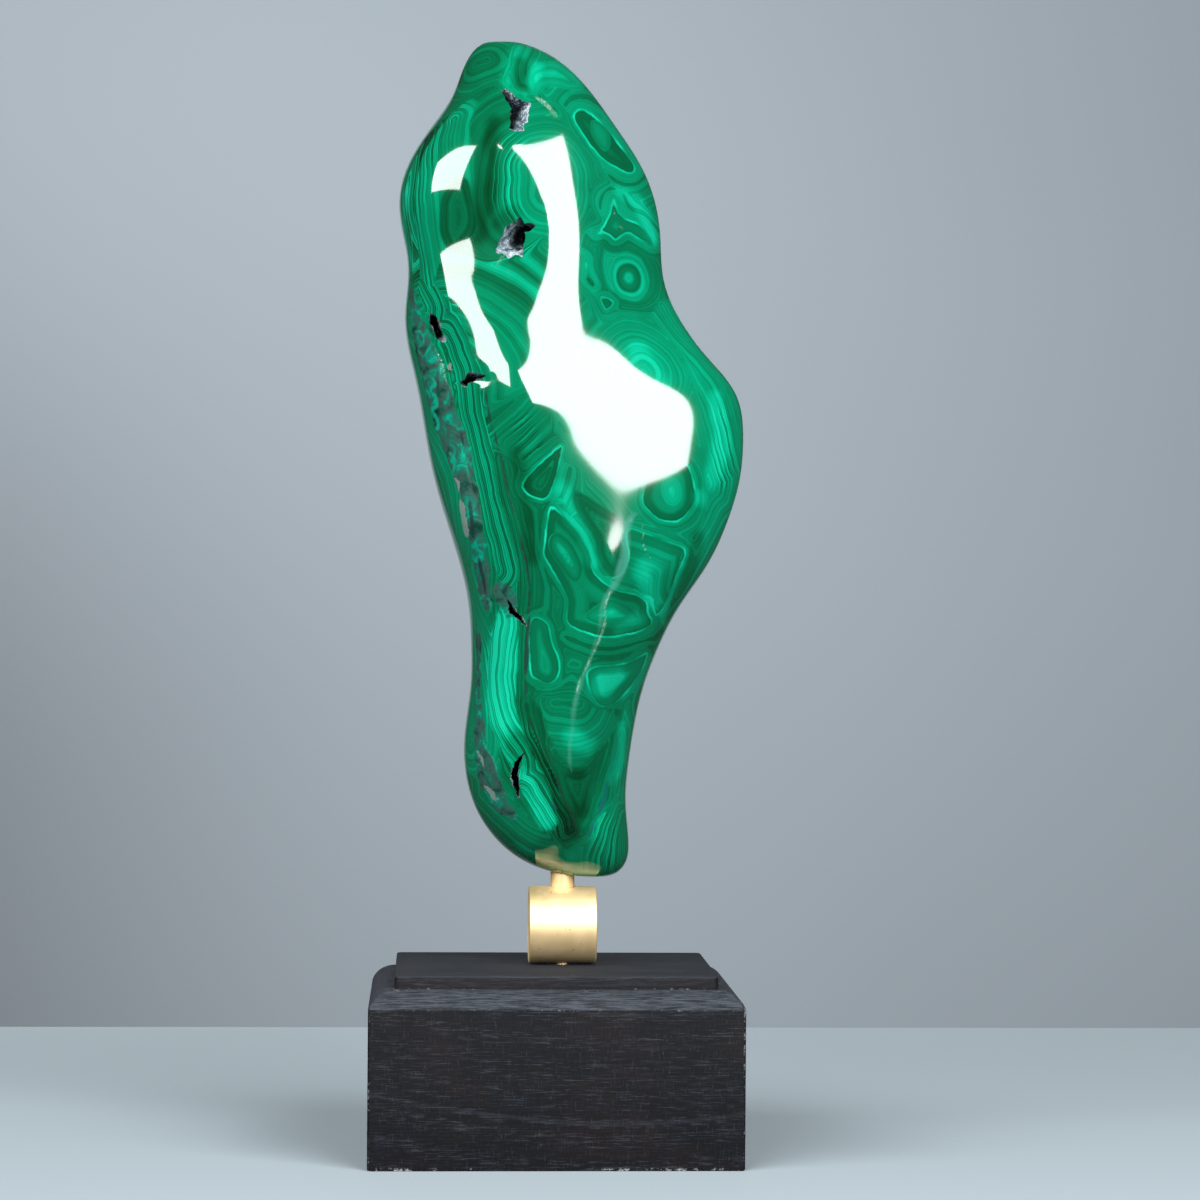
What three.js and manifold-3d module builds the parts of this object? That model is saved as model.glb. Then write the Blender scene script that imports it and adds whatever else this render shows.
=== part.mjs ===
// A tall polished malachite freeform, held upright by a brass pin in a brass barrel on a dark wooden base.
// Millimetres, +Z up, with the viewer at -Y. The origin is the centre of the base's underside.
import * as THREE from "three";
import { mergeVertices } from "three/addons/utils/BufferGeometryUtils.js";
import Module from "manifold-3d";

const wasm = await Module();
wasm.setup();

// Driving dimensions

const base = {
  width: 120,
  depth: 93,
  height: 61,
  cornerRadius: 1.2, // the four upright edges
  footArris: 0.6, // the softened edge round the underside
  stepInset: 8.3, // from the sides in to the raised top
  stepHeight: 4.3, // how far the raised top stands over the moulding
  mouldingDrop: 5.8, // how far the moulding falls from the step to the sides
  topArris: 0.5,
};

const barrel = { diameter: 25.2, length: 22.2, endChamfer: 0.6, lift: 0.4 };
const pin = { diameter: 7.9, top: 112, depthInBarrel: 12 };
const stud = { diameter: 4.8, depthInBase: 24, depthInBarrel: 7 };
const fitGap = 0.3; // between a brass part and the hole that it is glued in
const brassAxisX = 3; // the pin and the barrel stand a little right of the base's middle
const roundSegments = 32;

// The stone is a stack of rings from its top to its foot. Each ring joins a point of the left outline to
// one of the right outline. The shares are its bulge to the front and to the back, of half its width, and
// lean is how far the front's crest moves over to the left. At a fullness of 0 a section is nearly an
// ellipse, and above that it's boxier.
const stoneRings = [
  { left: [-19.3, 365.6], right: [-19.3, 365.6], front: 0.5, back: 1.0, lean: 0.0, fullness: 0 },
  { left: [-25.1, 364.6], right: [-12.7, 364.8], front: 0.5, back: 1.0, lean: 0.02, fullness: 0 },
  { left: [-29.1, 361.0], right: [-4.1, 361.6], front: 0.52, back: 0.97, lean: 0.06, fullness: 0 },
  { left: [-31.9, 355.6], right: [3.7, 356.2], front: 0.57, back: 0.92, lean: 0.1, fullness: 0 },
  { left: [-34.9, 347.0], right: [11.7, 347.4], front: 0.62, back: 0.85, lean: 0.14, fullness: 0 },
  { left: [-42.1, 336.2], right: [19.5, 336.6], front: 0.6, back: 0.74, lean: 0.2, fullness: 0 },
  { left: [-49.5, 324.4], right: [27.6, 324.4], front: 0.54, back: 0.66, lean: 0.26, fullness: 0 },
  { left: [-52.6, 312.0], right: [32.4, 312.0], front: 0.52, back: 0.62, lean: 0.3, fullness: 0 },
  { left: [-50.9, 300.0], right: [34.1, 300.0], front: 0.54, back: 0.62, lean: 0.32, fullness: 0 },
  { left: [-49.2, 289.0], right: [34.8, 288.0], front: 0.57, back: 0.63, lean: 0.34, fullness: 0.03 },
  { left: [-50.3, 276.0], right: [39.4, 276.0], front: 0.56, back: 0.62, lean: 0.38, fullness: 0.08 },
  { left: [-48.8, 262.0], right: [49.3, 262.0], front: 0.53, back: 0.58, lean: 0.42, fullness: 0.14 },
  { left: [-45.9, 249.6], right: [59.3, 250.0], front: 0.52, back: 0.55, lean: 0.46, fullness: 0.18 },
  { left: [-43.4, 235.6], right: [61.9, 236.0], front: 0.54, back: 0.54, lean: 0.44, fullness: 0.18 },
  { left: [-40.5, 221.4], right: [60.9, 221.4], front: 0.6, back: 0.55, lean: 0.38, fullness: 0.16 },
  { left: [-36.1, 206.6], right: [56.6, 206.6], front: 0.69, back: 0.57, lean: 0.31, fullness: 0.12 },
  { left: [-31.5, 192.2], right: [49.9, 192.2], front: 0.77, back: 0.6, lean: 0.18, fullness: 0.08 },
  { left: [-28.6, 179.0], right: [40.9, 179.0], front: 0.84, back: 0.65, lean: 0.05, fullness: 0.06 },
  { left: [-27.7, 166.0], right: [34.3, 166.0], front: 0.9, back: 0.71, lean: -0.04, fullness: 0.05 },
  { left: [-27.8, 152.0], right: [29.1, 152.0], front: 0.93, back: 0.77, lean: -0.06, fullness: 0.05 },
  { left: [-29.6, 138.0], right: [26.1, 138.0], front: 0.9, back: 0.8, lean: -0.03, fullness: 0.05 },
  { left: [-29.5, 125.0], right: [24.3, 125.0], front: 0.86, back: 0.81, lean: 0, fullness: 0.05 },
  { left: [-26.7, 114.0], right: [23.7, 114.6], front: 0.82, back: 0.8, lean: 0, fullness: 0.03 },
  { left: [-21.1, 104.4], right: [24.8, 103.1], front: 0.8, back: 0.78, lean: 0, fullness: 0.02 },
  { left: [-13.9, 97.2], right: [24.6, 95.9], front: 0.8, back: 0.78, lean: 0, fullness: 0 },
  { left: [-4.7, 92.5], right: [22.0, 91.8], front: 0.84, back: 0.82, lean: 0, fullness: 0 },
  { left: [5.3, 90.3], right: [18.1, 90.0], front: 0.95, back: 0.95, lean: 0, fullness: 0 },
  { left: [12.4, 89.6], right: [12.4, 89.6], front: 1.0, back: 1.0, lean: 0, fullness: 0 },
];
const ringCount = 58;
const pointsRound = 68;

// Ridges and hollows of the polished face. Each follows a path in the XZ plane on the front or the back, and
// rises by height (or sinks, where that is negative) over a width to each side. It fades out at its ends.
const reliefs = {
  upperCrest: {
    side: "front", height: 3.8, width: 14.5,
    path: [
      [-15, 350], [-12.5, 336], [-5.5, 320], [-0.5, 302], [0, 286],
      [-5, 270], [-9, 254], [-5, 240], [3, 226], [11, 210],
    ],
  },
  topFold: {
    side: "front", height: -1.8, width: 4,
    path: [[-42, 357], [-36, 352], [-30, 348], [-26, 341], [-24, 334]],
  },
  lowerKeel: {
    side: "front", height: 3.2, width: 8,
    path: [[20, 209], [20, 196], [17, 182], [12, 169], [8, 158], [6, 144], [5, 122], [6, 108]],
  },
  broadSwell: {
    side: "front", height: 1.6, width: 22,
    path: [[0, 258], [8, 244], [16, 230]],
  },
  shoulderHollow: {
    side: "front", height: -2.4, width: 9,
    path: [[20, 288], [28, 278], [35, 270], [43, 262]],
  },
  leftRidge: {
    side: "front", height: 2.1, width: 8.5,
    path: [[-45, 297], [-39, 288], [-32, 279], [-26, 268], [-20, 256], [-16, 238], [-11, 212]],
  },
  leftShoulder: {
    side: "front", height: 4.6, width: 18,
    path: [[-36, 342], [-38, 330], [-42, 318], [-48, 305]],
  },
  leftEdge: {
    side: "front", height: 7.0, width: 8,
    path: [[-37, 220], [-34.5, 208], [-31.5, 197], [-28.5, 186], [-26, 175], [-23.5, 160]],
  },
  leftFaceHollow: {
    side: "front", height: -3.2, width: 9,
    path: [[-50, 296], [-46, 276], [-41, 252], [-36, 230], [-31, 208], [-29, 198]],
  },
  leftLedge: {
    side: "front", height: -1.7, width: 3.6,
    path: [[-46, 284], [-40, 268], [-35, 256], [-31, 242], [-27, 226], [-24, 210], [-21, 194], [-22, 174]],
  },
  footSeam: {
    side: "front", height: -2.2, width: 4.2,
    path: [[26, 162], [23, 150], [19, 138], [15, 124], [10, 112], [5, 102], [2, 96]],
  },
  footLobe: {
    side: "front", height: 2.8, width: 7.5,
    path: [[23, 134], [20, 124], [18, 112], [16, 102], [15, 92]],
  },
  lowerLeftLobe: {
    side: "front", height: 2.4, width: 10,
    path: [[-28, 142], [-24, 130], [-19, 116], [-9, 105], [2, 98]],
  },
  backSpine: {
    side: "back", height: 3.4, width: 15,
    path: [[-14, 350], [-15, 320], [-14, 292], [-2, 256], [10, 220], [4, 182], [-2, 146], [-4, 120]],
  },
  backDell: {
    side: "back", height: -3.6, width: 13,
    path: [[4, 324], [12, 306], [20, 284], [30, 262], [36, 250]],
  },
  backShoulder: {
    side: "back", height: 2.8, width: 15,
    path: [[30, 262], [35, 246], [36, 226], [30, 206]],
  },
  backHollow: {
    side: "back", height: -2.8, width: 11,
    path: [[-26, 236], [-20, 214], [-14, 190], [-12, 166], [-14, 146]],
  },
};

// Open cavities of the stone: an outline in the XZ plane, cut in from the front to the depth given, where
// its walls have drawn in by the share given.
const cavities = {
  upperVug: {
    floorY: -11, taper: 0.45,
    outline: [[-19.4, 347.4], [-17.6, 343.6], [-11.2, 341.4], [-14.4, 337.2], [-16.0, 333.2], [-18.6, 333.4], [-17.4, 339.0]],
  },
  middleVug: {
    floorY: -13, taper: 0.5,
    outline: [[-13.4, 305.0], [-11.8, 302.2], [-7.2, 301.6], [-11.6, 299.6], [-12.2, 292.4], [-20.4, 293.2], [-17.4, 301.6]],
  },
  lowerCrevice: {
    floorY: -8, taper: 0.4,
    outline: [[-10.4, 131.4], [-12.4, 126.0], [-12.0, 121.0], [-12.2, 116.2], [-14.8, 122.4], [-13.8, 128.0]],
  },
  crossCrack: {
    floorY: -16, taper: 0.5,
    outline: [[-32.4, 250.6], [-29.0, 253.8], [-24.4, 252.6], [-28.6, 250.8], [-31.0, 248.6]],
  },
  bandGap: {
    floorY: -14, taper: 0.5,
    outline: [[-16.4, 180.8], [-14.2, 178.4], [-9.6, 172.0], [-12.0, 173.4], [-15.6, 176.6]],
  },
  ledgePit: {
    floorY: -8, taper: 0.5,
    outline: [[-42.4, 274.0], [-40.0, 272.6], [-37.0, 264.6], [-39.4, 264.8], [-41.8, 269.4]],
  },
};

// Shared geometry helpers

/** The value at t of a smooth curve through values, whose knots stand at knots (a natural cubic spline). */
function naturalSpline(knots, values) {
  const n = knots.length;
  const bend = new Array(n).fill(0);
  const carry = new Array(n).fill(0);
  for (let i = 1; i < n - 1; i++) {
    const before = knots[i] - knots[i - 1];
    const span = knots[i + 1] - knots[i - 1];
    const share = before / span;
    const pivot = share * bend[i - 1] + 2;
    const slopeAfter = (values[i + 1] - values[i]) / (knots[i + 1] - knots[i]);
    const slopeBefore = (values[i] - values[i - 1]) / before;
    bend[i] = (share - 1) / pivot;
    carry[i] = ((6 * (slopeAfter - slopeBefore)) / span - share * carry[i - 1]) / pivot;
  }
  const curvature = new Array(n).fill(0);
  for (let i = n - 2; i > 0; i--) curvature[i] = bend[i] * curvature[i + 1] + carry[i];
  return (t) => {
    let i = 0;
    while (i < n - 2 && t > knots[i + 1]) i++;
    const gap = knots[i + 1] - knots[i];
    const a = (knots[i + 1] - t) / gap;
    const b = 1 - a;
    const bowing = (a ** 3 - a) * curvature[i] + (b ** 3 - b) * curvature[i + 1];
    return a * values[i] + b * values[i + 1] + (bowing * gap * gap) / 6;
  };
}

/**
 * A closed skin over a stack of rings of equal length. Each ring is anticlockwise as seen from the end of
 * the stack, and both ends are closed by a fan.
 */
function skinned(rings) {
  const around = rings[0].length;
  const positions = rings.flat().flatMap((point) => point.toArray());
  const ends = [rings[0], rings.at(-1)].map((ring) =>
    ring.reduce((sum, point) => sum.add(point), new THREE.Vector3()).divideScalar(around),
  );
  ends.forEach((end) => positions.push(...end.toArray()));
  const firstEnd = rings.length * around;
  const faces = [];
  for (let i = 0; i < around; i++) {
    const next = (i + 1) % around;
    for (let ring = 0; ring < rings.length - 1; ring++) {
      const here = ring * around;
      const there = here + around;
      faces.push(here + i, here + next, there + next, here + i, there + next, there + i);
    }
    const last = (rings.length - 1) * around;
    faces.push(firstEnd, next, i, firstEnd + 1, last + i, last + next);
  }
  const geometry = new THREE.BufferGeometry();
  geometry.setAttribute("position", new THREE.Float32BufferAttribute(positions, 3));
  geometry.setIndex(faces);
  return geometry;
}

/** A manifold-3d solid made of a closed geometry. */
function solidOf(geometry) {
  const bare = geometry.clone();
  bare.deleteAttribute("normal");
  bare.deleteAttribute("uv");
  const merged = mergeVertices(bare, 1e-4);
  return new wasm.Manifold(
    new wasm.Mesh({
      numProp: 3,
      vertProperties: merged.attributes.position.array,
      triVerts: new Uint32Array(merged.index.array),
    }),
  );
}

/** A geometry of a manifold-3d solid. */
function geometryOf(solid) {
  const mesh = solid.getMesh();
  const geometry = new THREE.BufferGeometry();
  geometry.setAttribute("position", new THREE.BufferAttribute(mesh.vertProperties, 3));
  geometry.setIndex(new THREE.BufferAttribute(mesh.triVerts, 1));
  geometry.computeVertexNormals();
  return geometry;
}

/** An upright cylinder on the brass axis, between two heights. */
function uprightCylinder(diameter, low, high) {
  const radius = diameter / 2;
  return new THREE.CylinderGeometry(radius, radius, high - low, roundSegments)
    .rotateX(Math.PI / 2)
    .translate(brassAxisX, 0, (low + high) / 2);
}

function namedMesh(name, geometry, material) {
  const mesh = new THREE.Mesh(geometry, material);
  mesh.name = name;
  return mesh;
}

// The stone

/** How far the reliefs of one side lift the surface at a point of the XZ plane. */
function reliefAt(side, x, z) {
  let lift = 0;
  for (const relief of Object.values(reliefs)) {
    if (relief.side !== side) continue;
    const strengths = relief.samples.map(([px, pz, share]) => {
      const distance = Math.hypot(x - px, z - pz);
      return share * Math.exp(-((distance / relief.width) ** 2));
    });
    lift += relief.height * Math.max(...strengths);
  }
  return lift;
}

/** Samples each relief's path along a smooth curve, with a share that falls to nothing at both ends. */
function sampleReliefs() {
  const samplesPerSpan = 10;
  const fade = 0.3; // of the path, at each end
  for (const relief of Object.values(reliefs)) {
    const curve = new THREE.SplineCurve(relief.path.map(([x, z]) => new THREE.Vector2(x, z)));
    const last = samplesPerSpan * (relief.path.length - 1);
    relief.samples = curve.getPoints(last).map((point, i) => {
      const share = THREE.MathUtils.smoothstep(Math.min(i, last - i) / last, 0, fade);
      return [point.x, point.y, share];
    });
  }
}

/** The smooth curves that the rings' numbers follow from top to foot, with a knot at each given ring. */
function ringCurves() {
  const middle = ({ left, right }) => [(left[0] + right[0]) / 2, (left[1] + right[1]) / 2];
  const knots = [0];
  stoneRings.slice(1).forEach((ring, i) => {
    const [x, z] = middle(ring);
    const [oldX, oldZ] = middle(stoneRings[i]);
    const growth = Math.abs(ring.right[0] - ring.left[0] - stoneRings[i].right[0] + stoneRings[i].left[0]);
    knots.push(knots[i] + Math.hypot(x - oldX, z - oldZ, growth / 2));
  });
  const curve = (read) => naturalSpline(knots, stoneRings.map(read));
  return {
    length: knots.at(-1),
    leftX: curve((ring) => ring.left[0]),
    leftZ: curve((ring) => ring.left[1]),
    rightX: curve((ring) => ring.right[0]),
    rightZ: curve((ring) => ring.right[1]),
    front: curve((ring) => ring.front),
    back: curve((ring) => ring.back),
    lean: curve((ring) => ring.lean),
    fullness: curve((ring) => ring.fullness),
  };
}

/** One ring of the stone at t along the curves, seen from above and going anticlockwise. */
function stoneRing(curves, t) {
  const left = new THREE.Vector2(curves.leftX(t), curves.leftZ(t));
  const right = new THREE.Vector2(curves.rightX(t), curves.rightZ(t));
  const middle = left.clone().add(right).divideScalar(2);
  const half = right.clone().sub(left).divideScalar(2);
  const rounding = 0.94 - curves.fullness(t);
  const points = [];
  for (let i = 0; i < pointsRound; i++) {
    const angle = (2 * Math.PI * i) / pointsRound;
    const across = Math.sign(Math.cos(angle)) * Math.abs(Math.cos(angle)) ** rounding;
    const outward = Math.abs(Math.sin(angle)) ** rounding;
    const side = Math.sin(angle) < 0 ? "front" : "back";
    const share = side === "front" ? curves.front(t) * (1 - curves.lean(t) * across) : curves.back(t);
    const x = middle.x + half.x * across;
    const z = middle.y + half.y * across;
    const facing = Math.abs(Math.sin(angle)) ** 0.8;
    const endFade = Math.min(1, half.length() / 16);
    const depth = half.length() * share * outward + reliefAt(side, x, z) * facing * endFade;
    points.push(new THREE.Vector3(x, side === "front" ? -depth : depth, z));
  }
  return points;
}

/** A cavity's cutter: its outline in front of the stone, drawn in towards its middle at the floor. */
function cavityCutter({ outline, floorY, taper }) {
  const mouthY = -48; // clear of the stone's front
  const surfaceY = -26; // about where the polished face is, and there the outline has its own size
  const middle = outline
    .reduce(([x, z], [px, pz]) => [x + px, z + pz], [0, 0])
    .map((sum) => sum / outline.length);
  const points = outline.map(([x, z]) => new THREE.Vector2(x, z));
  if (THREE.ShapeUtils.isClockWise(points)) points.reverse();
  const ringAt = (y, share) => points.map((point) => new THREE.Vector3(
    middle[0] + (point.x - middle[0]) * share, y, middle[1] + (point.y - middle[1]) * share));
  const slope = taper / (floorY - surfaceY);
  return solidOf(skinned([ringAt(floorY, 1 - taper), ringAt(mouthY, 1 + slope * (surfaceY - mouthY))]));
}

function stoneGeometry() {
  sampleReliefs();
  const curves = ringCurves();
  const rings = [];
  for (let i = 1; i < ringCount; i++) {
    rings.push(stoneRing(curves, (curves.length * i) / ringCount));
  }
  let solid = solidOf(skinned(rings.reverse()));
  for (const cavity of Object.values(cavities)) solid = solid.subtract(cavityCutter(cavity));
  const pinHole = uprightCylinder(pin.diameter + 2 * fitGap, base.height, pin.top + fitGap);
  return geometryOf(solid.subtract(solidOf(pinHole)));
}

// The brass

const barrelLow = base.height + barrel.lift;
const barrelMiddle = barrelLow + barrel.diameter / 2;
const barrelHigh = barrelLow + barrel.diameter;

/** The barrel lies along X. A hole in its top takes the pin, and one below takes the stud. */
function barrelGeometry() {
  const radius = barrel.diameter / 2;
  const halfLength = barrel.length / 2;
  const profile = [
    [0, -halfLength],
    [radius - barrel.endChamfer, -halfLength],
    [radius, -halfLength + barrel.endChamfer],
    [radius, halfLength - barrel.endChamfer],
    [radius - barrel.endChamfer, halfLength],
    [0, halfLength],
  ].map(([r, along]) => new THREE.Vector2(r, along));
  const body = new THREE.LatheGeometry(profile, 2 * roundSegments)
    .rotateZ(-Math.PI / 2)
    .translate(brassAxisX, 0, barrelMiddle);
  const pinHole = uprightCylinder(
    pin.diameter + 2 * fitGap, barrelHigh - pin.depthInBarrel - fitGap, barrelHigh + radius);
  const studHole = uprightCylinder(
    stud.diameter + 2 * fitGap, barrelLow - radius, barrelLow + stud.depthInBarrel + fitGap);
  return geometryOf(solidOf(body).subtract(solidOf(pinHole)).subtract(solidOf(studHole)));
}

// The wooden base

/** A level rounded rectangle at a height, drawn in from the base's sides by inset. */
function baseRing(inset, height) {
  const halfWidth = base.width / 2 - inset;
  const halfDepth = base.depth / 2 - inset;
  const radius = base.cornerRadius;
  const stepsPerCorner = 3;
  const corners = [[1, 1], [-1, 1], [-1, -1], [1, -1]];
  return corners.flatMap(([sideX, sideY], corner) => {
    const points = [];
    for (let i = 0; i <= stepsPerCorner; i++) {
      const angle = (Math.PI / 2) * (corner + i / stepsPerCorner);
      points.push(new THREE.Vector3(
        sideX * (halfWidth - radius) + radius * Math.cos(angle),
        sideY * (halfDepth - radius) + radius * Math.sin(angle),
        height,
      ));
    }
    return points;
  });
}

/** The moulding's profile from the sides up to the raised top: an arc, then the step. */
function baseGeometry() {
  const stepFoot = base.height - base.stepHeight;
  const arcSteps = 7;
  const arcEnd = THREE.MathUtils.degToRad(16); // the arc stops short of upright and leaves a crisp edge
  const rings = [baseRing(base.footArris, 0), baseRing(0, base.footArris)];
  for (let i = 0; i <= arcSteps; i++) {
    const angle = arcEnd + (Math.PI / 2 - arcEnd) * (i / arcSteps);
    const inward = (Math.cos(arcEnd) - Math.cos(angle)) / Math.cos(arcEnd);
    const upward = (Math.sin(angle) - Math.sin(arcEnd)) / (1 - Math.sin(arcEnd));
    const height = stepFoot - base.mouldingDrop * (1 - upward);
    rings.push(baseRing(base.stepInset * inward, height));
  }
  rings.push(baseRing(base.stepInset, base.height - base.topArris));
  rings.push(baseRing(base.stepInset + base.topArris, base.height));
  const studHole = uprightCylinder(
    stud.diameter + 2 * fitGap, base.height - stud.depthInBase - fitGap, base.height + stud.depthInBase);
  return geometryOf(solidOf(skinned(rings)).subtract(solidOf(studHole)));
}

// The object

const malachite = new THREE.MeshStandardMaterial({ color: 0x0a8a58, roughness: 0.12, metalness: 0 });
const brass = new THREE.MeshStandardMaterial({ color: 0xd9b878, roughness: 0.3, metalness: 1 });
const darkWood = new THREE.MeshStandardMaterial({ color: 0x26262a, roughness: 0.6, metalness: 0 });

const pinGeometry = uprightCylinder(pin.diameter, barrelHigh - pin.depthInBarrel, pin.top);
const studGeometry = uprightCylinder(
  stud.diameter, base.height - stud.depthInBase, barrelLow + stud.depthInBarrel);

const freeform = new THREE.Group();
freeform.add(
  namedMesh("malachite_stone", stoneGeometry(), malachite),
  namedMesh("brass_pin", pinGeometry, brass),
  namedMesh("brass_barrel", barrelGeometry(), brass),
  namedMesh("brass_stud", studGeometry, brass),
  namedMesh("wooden_base", baseGeometry(), darkWood),
);

export default freeform;
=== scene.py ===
import math

import bpy
import numpy as np
from mathutils import Matrix, Vector, noise
from mathutils.bvhtree import BVHTree


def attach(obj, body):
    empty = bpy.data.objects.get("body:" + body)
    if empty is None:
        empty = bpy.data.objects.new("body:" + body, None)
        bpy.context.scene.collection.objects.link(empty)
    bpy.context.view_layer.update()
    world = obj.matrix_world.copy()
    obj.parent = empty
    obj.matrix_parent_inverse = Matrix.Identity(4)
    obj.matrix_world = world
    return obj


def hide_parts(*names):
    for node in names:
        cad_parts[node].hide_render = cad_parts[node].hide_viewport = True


# A tall polished malachite freeform, held by a brass pin and barrel on a dark wooden base.
# Metres, +Z up, the viewer at -Y. Sizes in the dictionaries that end in Mm are millimetres.

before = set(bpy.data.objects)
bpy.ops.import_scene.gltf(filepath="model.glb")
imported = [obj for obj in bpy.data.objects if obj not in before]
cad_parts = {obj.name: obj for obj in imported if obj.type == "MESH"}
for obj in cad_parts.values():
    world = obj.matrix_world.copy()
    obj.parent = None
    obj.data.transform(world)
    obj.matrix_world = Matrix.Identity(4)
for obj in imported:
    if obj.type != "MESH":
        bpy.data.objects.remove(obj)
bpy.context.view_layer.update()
mm = 0.001
print("frame loaded:", ", ".join(sorted(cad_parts)))


# Small helpers for working on one piece at a time.

def onlyThis(piece):
    bpy.ops.object.select_all(action="DESELECT")
    piece.select_set(True)
    bpy.context.view_layer.objects.active = piece


def editSome(piece, kind, listName, passes):  # enters edit mode with the faces or edges that pass
    onlyThis(piece)
    bpy.ops.object.mode_set(mode="EDIT")
    bpy.ops.mesh.select_mode(type=kind)
    bpy.ops.mesh.select_all(action="DESELECT")
    bpy.ops.object.mode_set(mode="OBJECT")
    for item in getattr(piece.data, listName):
        item.select = bool(passes(item))
    bpy.ops.object.mode_set(mode="EDIT")


def editFaces(piece, wanted):  # wanted is asked with a face's centre and normal
    editSome(piece, "FACE", "polygons", lambda face: wanted(face.center, face.normal))


def editEdges(piece, wanted):  # wanted is asked with an edge's two ends
    editSome(piece, "EDGE", "edges",
             lambda edge: wanted(*(piece.data.vertices[end].co for end in edge.vertices)))


def doneEditing():
    bpy.ops.object.mode_set(mode="OBJECT")


def settle(piece):  # puts the piece's place and turn into its mesh
    onlyThis(piece)
    bpy.ops.object.transform_apply(location=True, rotation=True, scale=True)


def withModifier(piece, kind, **settings):  # adds a modifier and applies it
    onlyThis(piece)
    modifier = piece.modifiers.new(kind.lower(), kind)
    for name, value in settings.items():
        setattr(modifier, name, value)
    bpy.ops.object.modifier_apply(modifier=modifier.name)


def cutAway(piece, cutter):  # what the cutter holds leaves the piece, and the cutter goes
    withModifier(piece, "BOOLEAN", operation="DIFFERENCE", solver="MANIFOLD", object=cutter)
    bpy.data.objects.remove(cutter)


def smoothShaded(piece, degrees):  # edges stay sharp where faces meet at more than these
    onlyThis(piece)
    bpy.ops.object.shade_smooth_by_angle(angle=math.radians(degrees))


def newRod(name, radius, length, place, turn=(0, 0, 0), around=96):
    bpy.ops.object.select_all(action="DESELECT")
    bpy.ops.mesh.primitive_cylinder_add(vertices=around, radius=radius, depth=length, location=place,
                                        rotation=turn)
    rod = bpy.context.object
    rod.name = name
    settle(rod)
    return rod


def copyOfNode(nodeName, pieceName):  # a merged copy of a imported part, to be worked on
    piece = bpy.data.objects.new(pieceName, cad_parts[nodeName].data.copy())
    bpy.context.collection.objects.link(piece)
    piece.data.materials.clear()
    onlyThis(piece)
    bpy.ops.object.mode_set(mode="EDIT")
    bpy.ops.mesh.select_all(action="SELECT")
    bpy.ops.mesh.remove_doubles(threshold=1e-6)
    doneEditing()
    bpy.ops.mesh.customdata_custom_splitnormals_clear()
    return piece


def wear(piece, material):  # the material, the body that carries the piece, and the slot
    if material.name not in piece.data.materials:
        piece.data.materials.append(material)
    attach(piece, "root")


# Materials. Their sums are written on sockets as on numbers.

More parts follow.
